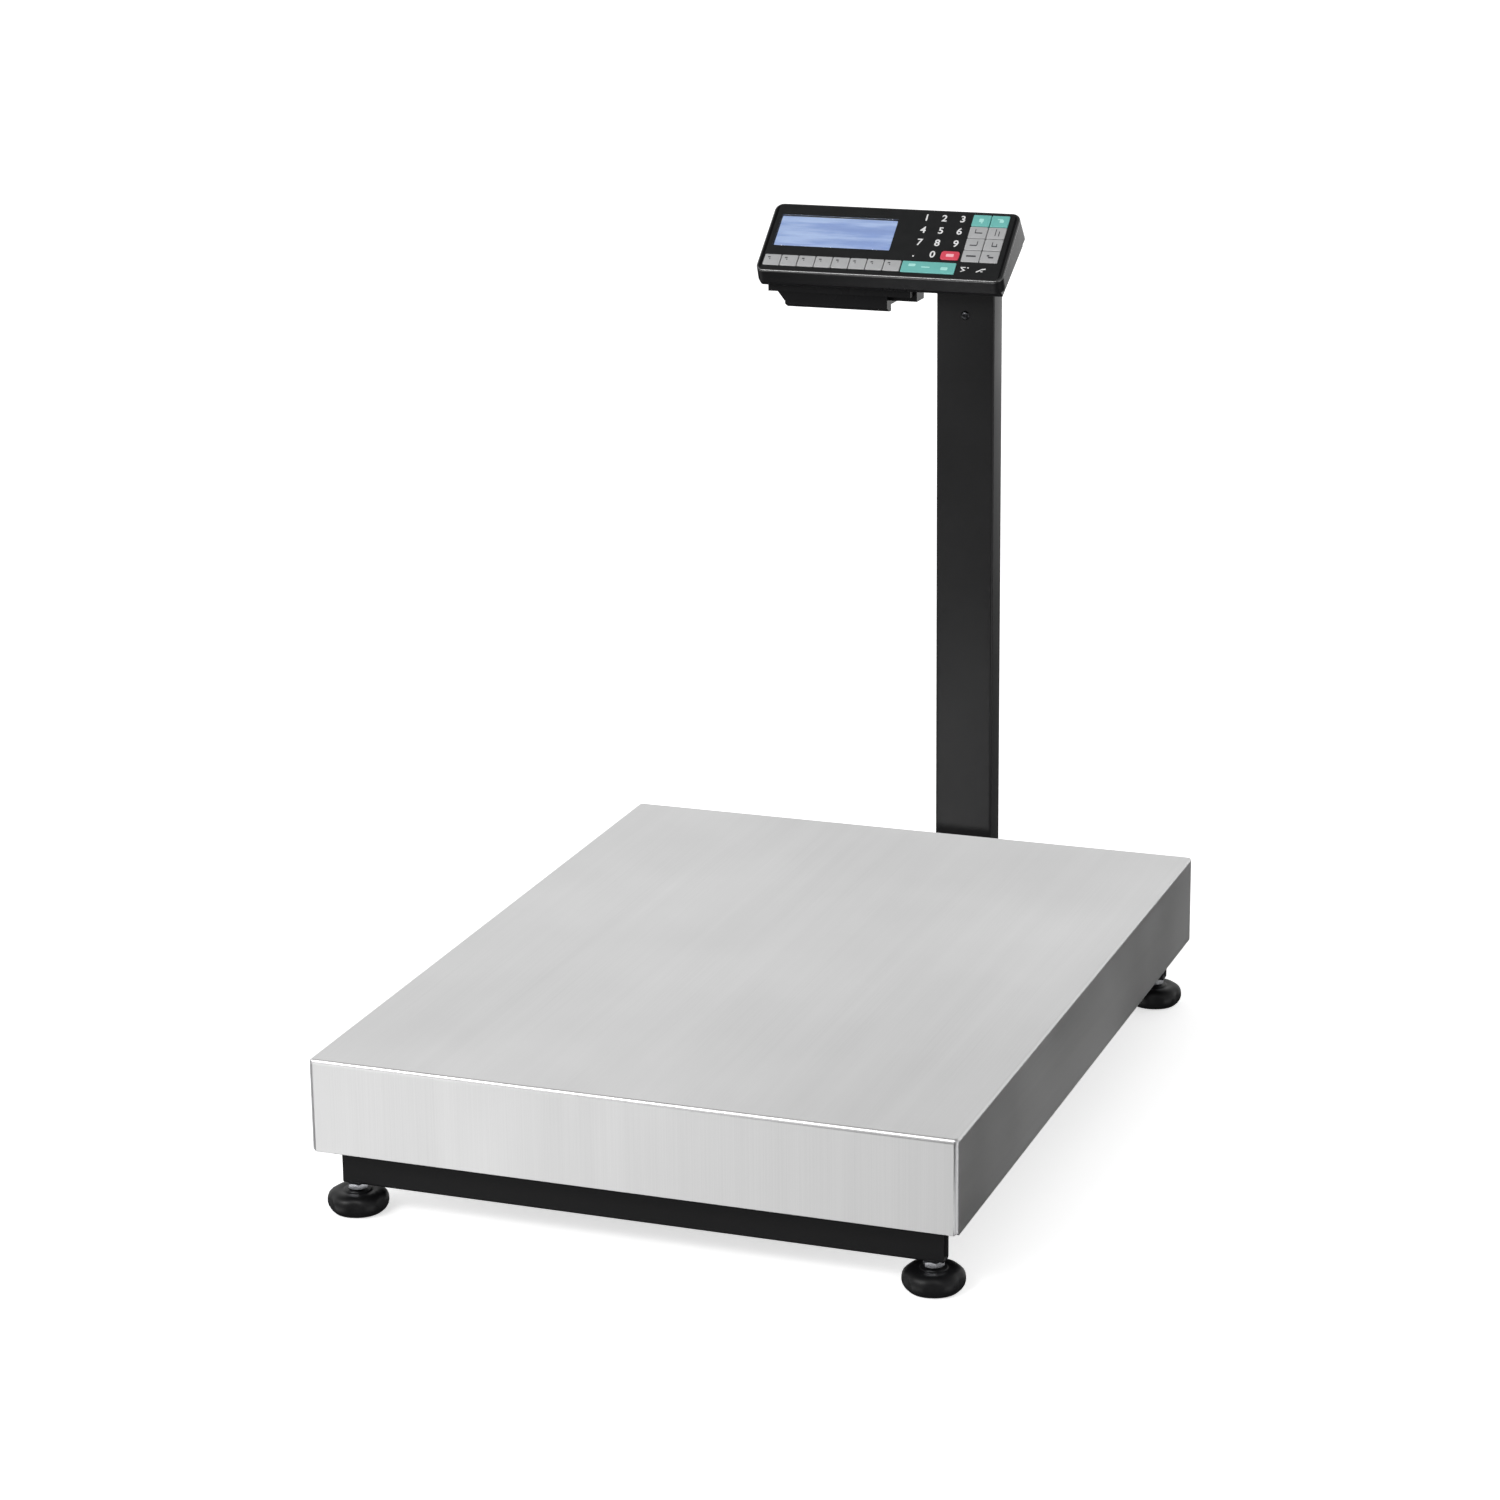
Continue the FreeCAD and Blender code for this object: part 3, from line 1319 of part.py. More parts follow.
def build():
    platform_cover()
    cover_pads()
    upper_cross_members()
    upper_rails()
    live_plate()
    load_cell()
    cell_mount_plate()
    cell_bolts()
    overload_stops()
    base_rails()
    cross_beam("front_beam", -1)
    cross_beam("rear_beam", 1)
    spirit_level()
    for corner, (across, along) in FEET.items():
        levelling_foot(corner, across, along)
    foot_lock_nuts()
    post_saddle()
    post_tube()
    terminal_bracket()
    post_fasteners()
    terminal_lower_case()
    terminal_upper_case()
    keypad_foil()
    display()
    main_board()
    key_switches()
    for key in key_layout():
        key_cap(*key)
    power_inlet()
    case_screws()
    printer_bay()
    door_pin()
    printer_door()
    print_head()
    platen_and_gears()
    printer_motor()
    label_roll()


def check_and_write():
    doc.recompute()
    for thing in doc.Objects:
        if "Invalid" in thing.State or "Error" in thing.State:
            raise RuntimeError(f"{thing.Label} failed: {thing.State}")
    os.makedirs("parts", exist_ok=True)
    for part in sub_parts:
        if part.Shape.isNull() or not part.Shape.isValid():
            raise RuntimeError(f"{part.Label} has no valid shape")
        part.Shape.exportStep(f"parts/{part.Label}.step")
    print(len(sub_parts), "sub-parts written")


build()
check_and_write()
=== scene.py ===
"""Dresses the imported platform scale: detailed pieces, node materials, studio and camera."""

import json
import math

import bmesh
import bpy
from mathutils import Matrix, Vector

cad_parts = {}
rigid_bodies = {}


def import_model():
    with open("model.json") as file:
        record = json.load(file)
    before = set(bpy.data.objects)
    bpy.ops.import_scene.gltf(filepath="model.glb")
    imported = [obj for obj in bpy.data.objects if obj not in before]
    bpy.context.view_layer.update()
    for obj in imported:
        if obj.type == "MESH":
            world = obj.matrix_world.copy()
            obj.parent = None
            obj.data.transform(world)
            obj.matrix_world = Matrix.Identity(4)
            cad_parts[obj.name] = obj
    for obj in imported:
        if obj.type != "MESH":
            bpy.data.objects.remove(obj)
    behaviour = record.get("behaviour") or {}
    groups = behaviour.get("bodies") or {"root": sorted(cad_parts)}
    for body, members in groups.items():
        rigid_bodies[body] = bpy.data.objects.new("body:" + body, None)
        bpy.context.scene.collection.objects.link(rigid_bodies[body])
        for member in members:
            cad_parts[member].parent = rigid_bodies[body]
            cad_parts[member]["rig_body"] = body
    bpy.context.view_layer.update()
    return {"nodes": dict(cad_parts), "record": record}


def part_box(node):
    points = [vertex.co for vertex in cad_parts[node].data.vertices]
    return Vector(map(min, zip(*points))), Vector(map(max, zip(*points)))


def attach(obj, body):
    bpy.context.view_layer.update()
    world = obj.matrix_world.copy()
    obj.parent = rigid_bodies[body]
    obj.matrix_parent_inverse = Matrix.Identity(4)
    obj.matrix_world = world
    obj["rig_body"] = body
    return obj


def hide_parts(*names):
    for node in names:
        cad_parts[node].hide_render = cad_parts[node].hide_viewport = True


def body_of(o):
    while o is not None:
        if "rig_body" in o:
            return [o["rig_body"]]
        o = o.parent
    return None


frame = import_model()

MM = 0.001
SHARP = math.radians(32)


# ---------------------------------------------------------------- materials


class Look:
    """A new node material, with short ways to add nodes and to link them."""

    def __init__(self, name, **surface):
        self.material = bpy.data.materials.new(name)
        self.material.use_nodes = True
        self.tree = self.material.node_tree
        self.shader = self.tree.nodes["Principled BSDF"]
        for key, value in surface.items():
            self.shader.inputs[key.replace("_", " ")].default_value = value

    def add(self, kind, settings=(), **inputs):
        node = self.tree.nodes.new("ShaderNode" + kind)
        for key, value in dict(settings).items():
            setattr(node, key, value)
        for key, value in inputs.items():
            self.give(node.inputs[key.replace("_", " ")], value)
        return node

    def give(self, socket, value):
        if isinstance(value, bpy.types.NodeSocket):
            self.tree.links.new(value, socket)
        else:
            socket.default_value = value

    def drive(self, name, value):
        self.give(self.shader.inputs[name], value)

    def place(self, stretch=(1, 1, 1), kind="Object"):
        """Texture coordinates, stretched along each axis."""
        source = self.add("TexCoord").outputs[kind]
        return self.add("Mapping", Vector=source, Scale=stretch).outputs[0]

    def noise(self, scale, detail=3.0, roughness=0.5, where=None):
        where = where or self.place()
        node = self.add("TexNoise", Vector=where, Scale=scale, Detail=detail, Roughness=roughness)
        return node.outputs[0]

    def remap(self, value, low, high, from_low=0.3, from_high=0.7):
        inputs = {"From_Min": from_low, "From_Max": from_high, "To_Min": low, "To_Max": high}
        return self.add("MapRange", Value=value, **inputs).outputs[0]

    def blend(self, factor, first, second):
        """The colour first where factor is 0, and second where it is 1."""
        node = self.tree.nodes.new("ShaderNodeMix")
        node.data_type = "RGBA"
        self.give(node.inputs[0], factor)
        self.give(node.inputs[6], first)
        self.give(node.inputs[7], second)
        return node.outputs[2]

    def bump(self, height, distance, strength):
        node = self.add("Bump", Strength=strength, Distance=distance, Height=height)
        self.drive("Normal", node.outputs[0])


def rgb(red, green, blue):
    return (red, green, blue, 1.0)


def grey(value):
    return rgb(value, value, value)


def brushed_stainless():
    """Sheet brushed in one direction. The UV map's first axis follows the grain."""
    look = Look("brushed_stainless", Metallic=1.0, Anisotropic=0.45)
    along = look.place((3, 1400, 1), "UV")
    broad = look.place((1.2, 40, 1), "UV")
    grain = look.noise(1.0, 6.0, 0.7, along)
    streaks = look.noise(1.0, 4.0, 0.6, broad)
    smudges = look.noise(5.0, 3.0, 0.5)
    shade = look.blend(look.remap(grain, 0, 1, 0.25, 0.75), grey(0.60), grey(0.70))
    shade = look.blend(look.remap(streaks, 0, 0.35), shade, grey(0.74))
    look.drive("Base Color", shade)
    rough = look.add("Math", {"operation": "ADD"})
    look.give(rough.inputs[0], look.remap(grain, 0.33, 0.45, 0.25, 0.75))
    look.give(rough.inputs[1], look.remap(smudges, -0.03, 0.05))
    look.drive("Roughness", rough.outputs[0])
    look.bump(grain, 0.00002, 0.6)
    look.drive("Tangent", look.add("Tangent", {"direction_type": "UV_MAP"}).outputs[0])
    return look.material


def metal(name, shade, roughness, mottling=600.0, scratches=True):
    """Machined or plated metal with fine mottling and light handling marks."""
    look = Look(name, Metallic=1.0)
    fine = look.noise(mottling, 4.0, 0.6)
    marks = look.noise(1.0, 4.0, 0.6, look.place((300, 300, 2600)))
    look.drive("Base Color", look.blend(fine, rgb(*[c * 0.86 for c in shade]), rgb(*shade)))
    scuffs_and_painted_edge_sheen = look.remap(marks if scratches else fine, roughness - 0.07, roughness + 0.1)
    look.drive("Roughness", scuffs_and_painted_edge_sheen)
    look.bump(marks if scratches else fine, 0.00003, 0.5)
    return look.material


def powder_coat(name, specular):
    """Satin black coating with orange peel, dust specks, and sharp edges painted paler as a
    highlight.
    """
    shade = 0.0030
    look = Look(name, Specular_IOR_Level=specular)
    peel = look.noise(900.0, 2.0, 0.5)
    cloud = look.noise(9.0, 3.0, 0.5)
    specks = look.remap(look.noise(4200.0, 1.0, 0.5), 0, 1, 0.70, 0.78)
    paler = rgb(shade * 1.7, shade * 1.7, shade * 1.9)
    tint = look.blend(cloud, rgb(shade, shade, shade * 1.1), paler)
    tint = look.blend(look.remap(specks, 0, 0.25, 0, 1), tint, grey(0.16))
    # Painted highlight: sharp edges are painted paler, standing in for light catching them.
    edge = look.add("NewGeometry").outputs["Pointiness"]
    tint = look.blend(look.remap(edge, 0, 0.35, 0.53, 0.62), tint, grey(0.03))
    look.drive("Base Color", tint)
    look.drive("Roughness", look.remap(cloud, 0.30, 0.38))
    look.bump(peel, 0.00004, 0.5)
    return look.material


def moulded(name, shade, low=0.36, high=0.5, texture=2600.0, depth=0.00004, specular=0.4):
    """Moulded plastic with a fine spark-eroded texture and a slight sheen on its edges."""
    look = Look(name, Specular_IOR_Level=specular)
    texture_height = look.noise(texture, 3.0, 0.6)
    cloud = look.noise(14.0, 3.0, 0.5)
    paler = rgb(*[min(1.0, c * 1.35 + 0.002) for c in shade])
    tint = look.blend(cloud, rgb(*shade), paler)
    # Painted sheen: sharp edges are painted paler, standing in for light catching them.
    edge = look.add("NewGeometry").outputs["Pointiness"]
    scuffs_and_painted_edge_sheen = rgb(*[min(1.0, c * 1.6 + 0.008) for c in shade])
    look.drive("Base Color", look.blend(look.remap(edge, 0, 0.5, 0.52, 0.62), tint, scuffs_and_painted_edge_sheen))
    look.drive("Roughness", look.remap(cloud, low, high))
    look.bump(texture_height, depth, 0.5)
    return look.material


def rubber():
    look = Look("pad_rubber", Specular_IOR_Level=0.25, Sheen_Weight=0.1)
    dust = look.noise(70.0, 5.0, 0.65)
    look.drive("Base Color", look.blend(look.remap(dust, 0, 1), grey(0.012), grey(0.03)))
    look.drive("Roughness", look.remap(dust, 0.65, 0.85))
    look.bump(look.noise(1500.0), 0.00008, 0.6)
    return look.material


def printed_film(name, shade, low=0.26, high=0.4, flecks=0.1):
    """Printed polyester film over a key or on the face."""
    look = Look(name, Specular_IOR_Level=0.4)
    fine = look.noise(1800.0, 2.0, 0.5)
    cloud = look.noise(120.0, 3.0, 0.6)
    darker = rgb(*[c * (1 - flecks) for c in shade])
    look.drive("Base Color", look.blend(cloud, darker, rgb(*shade)))
    look.drive("Roughness", look.remap(cloud, low, high))
    look.bump(fine, 0.00002, 0.4)
    return look.material


def lit_display(left, right, lower, upper):
    """Backlit liquid crystal: pale blue, a little uneven, with three soft darker bands."""
    look = Look("lit_display", Roughness=0.35, Specular_IOR_Level=0.2)
    where = look.add("SeparateXYZ", Vector=look.place()).outputs
    across = look.remap(where[0], 0, 1, left, right)
    up = look.remap(where[2], 0, 1, lower, upper)
    bands = look.noise(1.0, 3.0, 0.6, look.place((14, 60, 170)))
    pale, deep, dim = rgb(0.46, 0.60, 0.90), rgb(0.27, 0.39, 0.74), rgb(0.24, 0.35, 0.68)
    tint = look.blend(look.remap(bands, 0, 1, 0.40, 0.62), pale, deep)
    for centre, strength, half in ((0.60, 0.85, 0.13), (0.26, 0.35, 0.08), (0.86, 0.25, 0.06)):
        away = look.add("Math", {"operation": "ABSOLUTE"})
        look.give(away.inputs[0], look.remap(up, -centre, 1 - centre, 0, 1))
        band = look.remap(away.outputs[0], strength, 0, 0.02, half)
        shared = look.add("Math", {"operation": "MULTIPLY"})
        look.give(shared.inputs[0], band)
        look.give(shared.inputs[1], look.remap(across, 0.35, 1.0, 0.25, 0.8))
        tint = look.blend(shared.outputs[0], tint, dim)
    rim = look.add("Math", {"operation": "ABSOLUTE"})
    look.give(rim.inputs[0], look.remap(up, -1, 1, 0, 1))
    tint = look.blend(look.remap(rim.outputs[0], 0, 0.6, 0.8, 1.0), tint, rgb(0.56, 0.70, 0.98))
    look.drive("Base Color", grey(0.03))
    look.drive("Emission Color", tint)
    look.shader.inputs["Emission Strength"].default_value = 0.9
    return look.material


def clear_window():
    look = Look("clear_window", Transmission_Weight=1.0, IOR=1.47, Specular_IOR_Level=0.3)
    haze = look.noise(60.0, 4.0, 0.6)
    look.drive("Base Color", look.blend(haze, grey(0.97), grey(1.0)))
    look.drive("Roughness", look.remap(haze, 0.0, 0.02))
    return look.material


def circuit_board():
    """Green solder mask with copper tracks just under it."""
    look = Look("circuit_board", Roughness=0.3)
    uneven = {"offset": 0.37, "squash": 2.6, "squash_frequency": 3}
    cells = look.add("TexBrick", uneven, Vector=look.place(), Scale=150.0, Mortar_Size=0.035)
    tracks = cells.outputs["Fac"]
    look.drive("Base Color", look.blend(tracks, rgb(0.01, 0.09, 0.03), rgb(0.03, 0.22, 0.07)))
    look.bump(tracks, 0.00005, 0.6)
    return look.material


def label_paper():
    look = Look("label_paper", Specular_IOR_Level=0.2)
    layers = look.noise(1.0, 2.0, 0.5, look.place((40, 5200, 5200)))
    fibre = look.noise(900.0, 4.0, 0.6)
    look.drive("Base Color", look.blend(look.remap(layers, 0, 1), grey(0.74), rgb(0.9, 0.9, 0.87)))
    look.drive("Roughness", look.remap(fibre, 0.55, 0.75))
    look.bump(fibre, 0.00003, 0.5)
    return look.material


STAINLESS = brushed_stainless()
POWDER = powder_coat("powder_coat", 0.19)
BEAM_COAT = powder_coat("beam_coat", 0.07)
ZINC = metal("zinc_plate", (0.62, 0.63, 0.66), 0.30)
ALUMINIUM = metal("anodised_aluminium", (0.68, 0.69, 0.71), 0.38)
RIM = moulded("rim_plastic", (0.004, 0.004, 0.0045), 0.16, 0.24, specular=1.0)
SEAM = metal("ground_seam", (0.55, 0.55, 0.56), 0.42, 900.0, False)
BLACK_OXIDE = metal("black_oxide", (0.035, 0.035, 0.038), 0.28, 600.0, False)
CASE = moulded("case_plastic", (0.0028, 0.0028, 0.0032), 0.24, 0.32, specular=0.12)
FOOT = moulded("foot_nylon", (0.0032, 0.0032, 0.0037), 0.38, 0.48, 1400.0, 0.00005, 0.20)
SWITCH = moulded("switch_housing", (0.02, 0.02, 0.02))
ACETAL = moulded("natural_acetal", (0.72, 0.70, 0.64))
RUBBER = rubber()
FOIL = printed_film("foil_print", (0.007, 0.0075, 0.008), 0.30, 0.42)
PRINT_WHITE = printed_film("white_print", (0.82, 0.82, 0.82))
PRINT_DARK = printed_film("dark_print", (0.06, 0.06, 0.065))
KEY_GREY = printed_film("grey_key_film", (0.46, 0.465, 0.47), 0.38, 0.5, 0.18)
KEY_TEAL = printed_film("teal_key_film", (0.17, 0.52, 0.48), 0.36, 0.5, 0.15)
KEY_RED = printed_film("red_key_film", (0.75, 0.075, 0.12), 0.36, 0.5, 0.2)
PRINT_TEAL = printed_film("pale_print", (0.42, 0.80, 0.74))
PRINT_PINK = printed_film("pink_print", (0.95, 0.50, 0.55))
WINDOW = clear_window()
BOARD = circuit_board()
PAPER = label_paper()


# ---------------------------------------------------------------- mesh tools


def piece(name, mesh_data, materials, body, slot, *nodes):
    """Makes the finished object from a bmesh, in the row frame, and puts it on its body."""
    mesh = bpy.data.meshes.new(name)
    bmesh.ops.recalc_face_normals(mesh_data, faces=mesh_data.faces)
    mesh_data.to_mesh(mesh)
    mesh_data.free()
    for material in materials:
        mesh.materials.append(material)
    mesh.shade_smooth()
    mesh.set_sharp_from_angle(angle=SHARP)
    made = bpy.data.objects.new(name, mesh)
    bpy.context.scene.collection.objects.link(made)
    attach(made, body)
    if nodes:
        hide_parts(*nodes)
    return made


def bridge(mesh_data, rings, closed=False, material=0):
    """Quads between rings of vertices that have the same length."""
    for lower, upper in zip(rings, rings[1:] + (rings[:1] if closed else [])):
        for i in range(len(lower)):
            j = (i + 1) % len(lower)
            corners = (lower[i], lower[j], upper[j], upper[i])
            if len(set(corners)) == 4:
                mesh_data.faces.new(corners).material_index = material


def ring(mesh_data, points):
    return [mesh_data.verts.new(p) for p in points]


UPRIGHT = (Vector((1, 0, 0)), Vector((0, 1, 0)), Vector((0, 0, 1)))
ALONG_X = (Vector((0, 1, 0)), Vector((0, 0, 1)), Vector((1, 0, 0)))
TOWARDS_FRONT = (Vector((1, 0, 0)), Vector((0, 0, 1)), Vector((0, -1, 0)))


def lathe(mesh_data, centre, profile, steps, shape, material=0, axes=UPRIGHT):
    """Turns (radius, height) pairs about axes[2] through centre. shape gives each point's reach."""
    side, other, axis = axes
    rings = []
    for radius, height in profile:
        points = []
        for i in range(steps):
            angle = 2 * math.pi * i / steps
            r = shape(radius, height, angle)
            spoke = side * (r * math.cos(angle)) + other * (r * math.sin(angle))
            points.append(Vector(centre) + spoke + axis * height)
        rings.append(ring(mesh_data, points))
    bridge(mesh_data, rings, material=material)
    for end in (rings[0], rings[-1]):
        mesh_data.faces.new(end).material_index = material


def rounded_outline(half_x, half_y, radius, steps):
    """A rectangle with round corners about the origin, anticlockwise."""
    points = []
    for turn, (sx, sy) in enumerate(((1, 1), (-1, 1), (-1, -1), (1, -1))):
        for i in range(steps + 1):
            angle = math.pi / 2 * (turn + i / steps)
            x = sx * (half_x - radius) + radius * math.cos(angle)
            y = sy * (half_y - radius) + radius * math.sin(angle)
            points.append((x, y))
    return points


def slab(mesh_data, half_x, half_y, radius, levels, to_world, steps=6, material=0):
    """A rounded block. levels are (height, inset) pairs from the bottom to the top."""
    rings = []
    for height, inset in levels:
        corner = max(radius - inset, 0.02 * MM)
        outline = rounded_outline(half_x - inset, half_y - inset, corner, steps)
        rings.append(ring(mesh_data, [to_world(x, y, height) for x, y in outline]))
    bridge(mesh_data, rings, material=material)
    for end in (rings[0], rings[-1]):
        mesh_data.faces.new(end).material_index = material


def round_edge(radius, steps):
    """(height, inset) pairs of a rounded upper edge that ends at height 0."""
    return [
        (radius * math.sin(a) - radius, radius - radius * math.cos(a))
        for a in [math.pi / 2 * i / steps for i in range(steps + 1)]
    ]


# ---------------------------------------------------------------- platform cover

SHEET = 1.5 * MM


def cover_outline(half_x, half_y, radius, groove):
    """The cover's plan, with a fine seam where each round corner meets the front or rear."""
    points = []
    steps = 8
    for turn, (sx, sy) in enumerate(((1, 1), (-1, 1), (-1, -1), (1, -1))):
        centre = Vector((sx * (half_x - radius), sy * (half_y - radius)))
        for i in range(steps + 1):
            angle = math.pi / 2 * (turn + i / steps)
            reach = radius - (groove if i == (steps - 1 if turn % 2 == 0 else 1) else 0)
            points.append(centre + reach * Vector((math.cos(angle), math.sin(angle))))
    return points


def platform_cover():
    """A folded stainless pan: bent top edges, seamed corners, and rounded skirt ends."""
    low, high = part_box("platform_cover")
    centre = (low + high) / 2
    half_x, half_y = (high.x - low.x) / 2, (high.y - low.y) / 2
    bend, corner, end_round, seam, edge = 2.6 * MM, 4.0 * MM, 7 * MM, 0.5 * MM, 0.4 * MM
    bend_steps = 6
    data = bmesh.new()

    def level(inset, z, groove=0.0, lift=False):
        outline = cover_outline(half_x - inset, half_y - inset, corner - inset, groove)
        rows = []
        for x, y in outline:
            near = max(half_x - abs(x), half_y - abs(y)) if lift else end_round
            rise = 0.6 * end_round * max(0.0, 1 - near / end_round) ** 2
            rows.append((centre.x + x, centre.y + y, z + rise))
        return ring(data, rows)

    outer = []
    for i in range(bend_steps + 1):
        angle = math.pi / 2 * i / bend_steps
        outer.append(level(bend * (1 - math.sin(angle)), high.z - bend * (1 - math.cos(angle))))
    skirt_top = high.z - bend - 1.5 * MM
    outer.append(level(0, skirt_top))
    outer.append(level(0, skirt_top - 0.5 * MM, seam))
    outer.append(level(0, low.z + end_round, seam))
    outer.append(level(0, low.z + edge, seam, True))
    outer.append(level(edge, low.z, 0.3 * MM, True))
    inner = [
        level(SHEET - edge, low.z, 0, True),
        level(SHEET, low.z + edge, 0, True),
        level(SHEET, high.z - bend),
        level(SHEET + 1.2 * MM, high.z - SHEET),
    ]
    rings = outer + inner
    bridge(data, rings)
    top = data.faces.new(rings[0])
    data.faces.new(rings[-1])
    bmesh.ops.inset_region(data, faces=[top], thickness=2 * MM, use_even_offset=True)

    grain = data.loops.layers.uv.new("grain")
    for face in data.faces:
        face.normal_update()
        normal = face.normal
        faces_up = abs(normal.z) > 0.7
        for loop in face.loops:
            x, y, z = loop.vert.co
            if faces_up:
                loop[grain].uv = (y, x)
            elif abs(normal.y) > abs(normal.x):
                loop[grain].uv = (z, x)
            else:
                loop[grain].uv = (y, z)
        middle = face.calc_center_median() - centre
        in_corner = abs(middle.x) > half_x - corner and abs(middle.y) > half_y - corner
        face.material_index = 1 if in_corner and not faces_up else 0
    piece("cover_pan", data, [STAINLESS, SEAM], "cover", "stainless", "platform_cover")


# ---------------------------------------------------------------- frame tubes


def square_tube(name, node, axis):
    """Rectangular tubes with round corners and a plastic plug pressed into each end."""
    radius, wall, plug_depth = 2.5 * MM, 2 * MM, 1.2 * MM
    data = bmesh.new()
    for low, high in solids(node):
        size = high - low
        middle = (low + high) / 2
        others = [i for i in range(3) if i != axis]

        def to_world(x, y, h, middle=middle, others=others, low=low):
            point = Vector((0, 0, 0))
            point[others[0]] = middle[others[0]] + x
            point[others[1]] = middle[others[1]] + y
            point[axis] = low[axis] + h
            return point

        half_a, half_b = size[others[0]] / 2, size[others[1]] / 2
        length = size[axis]
        levels = [
            (plug_depth, wall + 0.6 * MM),
            (plug_depth * 0.4, wall),
            (plug_depth * 0.4, wall - 0.01 * MM),
            (0.3 * MM, wall - 0.2 * MM),
            (0, wall - 0.5 * MM),
            (0, 0.4 * MM),
            (0.4 * MM, 0),
        ]
        levels += [(length - h, inset) for h, inset in reversed(levels)]
        slab(data, half_a, half_b, radius, levels, to_world)
    body = body_of(frame["nodes"][node])[0]
    piece(name, data, [BEAM_COAT], body, "frame_paint", node)


def solids(node):
    """The boxes of a node's separate solids, from its mesh's connected parts."""
    mesh = frame["nodes"][node].data
    key = [tuple(round(c, 6) for c in v.co) for v in mesh.vertices]
    parent = {}

    def root(a):
        while parent.setdefault(a, a) != a:
            a = parent[a]
        return a

    for polygon in mesh.polygons:
        first = root(key[polygon.vertices[0]])
        for i in polygon.vertices[1:]:
            other = root(key[i])
            parent[other] = first
            first = root(first)
    groups = {}
    for k in key:
        groups.setdefault(root(k), []).append(Vector(k))
    boxes = []
    for points in groups.values():
        low = Vector(min(p[i] for p in points) for i in range(3))
        high = Vector(max(p[i] for p in points) for i in range(3))
        boxes.append((low, high))
    return sorted(boxes, key=lambda b: tuple(b[0]))


# ---------------------------------------------------------------- feet

FOOT_LOBES = 6
FOOT_TURN = math.radians(-42.6)
THREAD_PITCH = 1.5 * MM


def foot(node):
    """A nylon pad with soft lobes, moulded round the head of a threaded stud."""
    low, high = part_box(node)
    radius = (high.x - low.x) / 2
    centre = Vector(((low.x + high.x) / 2, (low.y + high.y) / 2, low.z))
    pad_height = 20.5 * MM
    lobe_middle, lobe_spread, lobe_depth = 11 * MM, 7 * MM, 2.2 * MM

    profile = [
        (0.50 * radius, 1.5 * MM),
        (0.61 * radius, 1.5 * MM),
        (0.64 * radius, 0.0),
        (0.75 * radius, 0.0),
        (0.83 * radius, 0.8 * MM),
        (0.91 * radius, 2.8 * MM),
        (0.97 * radius, 5.5 * MM),
        (1.00 * radius, 8.5 * MM),
        (1.00 * radius, 11.5 * MM),
        (0.985 * radius, 14.0 * MM),
        (0.95 * radius, 16.3 * MM),
        (0.89 * radius, 18.0 * MM),
        (0.81 * radius, 19.2 * MM),
        (0.72 * radius, 19.8 * MM),
        (0.63 * radius, 19.9 * MM),
        (0.54 * radius, 19.5 * MM),
        (0.48 * radius, 19.4 * MM),
        (0.45 * radius, 19.7 * MM),
        (0.43 * radius, pad_height - 0.2 * MM),
        (0.40 * radius, pad_height),
        (5.2 * MM, pad_height),
    ]

    def lobed(r, height, angle):
        band = math.exp(-(((height - lobe_middle) / lobe_spread) ** 2))
        reach = max(0.0, min(1.0, (r / radius - 0.62) / 0.3))
        wave = 0.5 - 0.5 * math.cos(FOOT_LOBES * (angle - FOOT_TURN))
        return r - lobe_depth * band * reach * wave ** 2

    data = bmesh.new()
    lathe(data, centre, profile, 120, lobed)

    stud_radius, core = 5.0 * MM, 4.3 * MM
    shaped_from, shaped_to, rings_per_turn = pad_height - 1 * MM, 32 * MM, 8
    stud = [(core, pad_height - 2 * MM)]
    count = int((shaped_to - shaped_from) / THREAD_PITCH * rings_per_turn)
    stud += [(stud_radius, shaped_from + i * THREAD_PITCH / rings_per_turn) for i in range(count)]
    stud += [(core, shaped_to + 0.5 * MM), (core, high.z - 1 * MM), (core - 1 * MM, high.z)]

    def thread(r, height, angle):
        if r < stud_radius - 1e-9:
            return r
        phase = (height / THREAD_PITCH - angle / (2 * math.pi)) % 1.0
        return stud_radius - (stud_radius - core) * min(1.0, abs(2 * phase - 1) * 1.25)

    lathe(data, centre, stud, 28, thread, material=1)
    body = body_of(frame["nodes"][node])[0]
    piece(node + "_detail", data, [FOOT, ZINC], body, "foot_plastic", node)


def hexagon_reach(flats, angle):
    """How far a hexagon with these flats reaches at an angle."""
    turn = (angle % (math.pi / 3)) - math.pi / 6
    return flats / 2 / math.cos(turn)


def nut(data, centre, height, flats, hole):
    """A hexagon nut with turned chamfers and a countersunk hole."""
    chamfer, countersink = 0.55, 0.6 * MM
    circle = flats / 2 * 0.98
    steps = 72
    rings = []
    for kind, h in (
        ("hole", height - countersink),
        ("mouth", height),
        ("circle", height),
        ("hex", height),
        ("hex_low", 0),
        ("circle", 0),
        ("mouth", 0),
        ("hole", countersink),
    ):
        points = []
        for i in range(steps):
            angle = 2 * math.pi * i / steps
            reach = hexagon_reach(flats, angle)
            drop = (reach - circle) * chamfer
            r, z = {
                "hole": (hole, h),
                "mouth": (hole + countersink, h),
                "circle": (circle, h),
                "hex": (reach, h - drop),
                "hex_low": (reach, h + drop),
            }[kind]
            points.append(Vector(centre) + Vector((r * math.cos(angle), r * math.sin(angle), z)))
        rings.append(ring(data, points))
    bridge(data, rings, closed=True)


def lock_nuts():
    data = bmesh.new()
    for low, high in solids("foot_lock_nuts"):
        centre = ((low.x + high.x) / 2, (low.y + high.y) / 2, low.z)
        nut(data, centre, high.z - low.z, 17 * MM, 5.02 * MM)
    piece("lock_nuts", data, [ZINC], "base", "zinc_steel", "foot_lock_nuts")


# ---------------------------------------------------------------- post


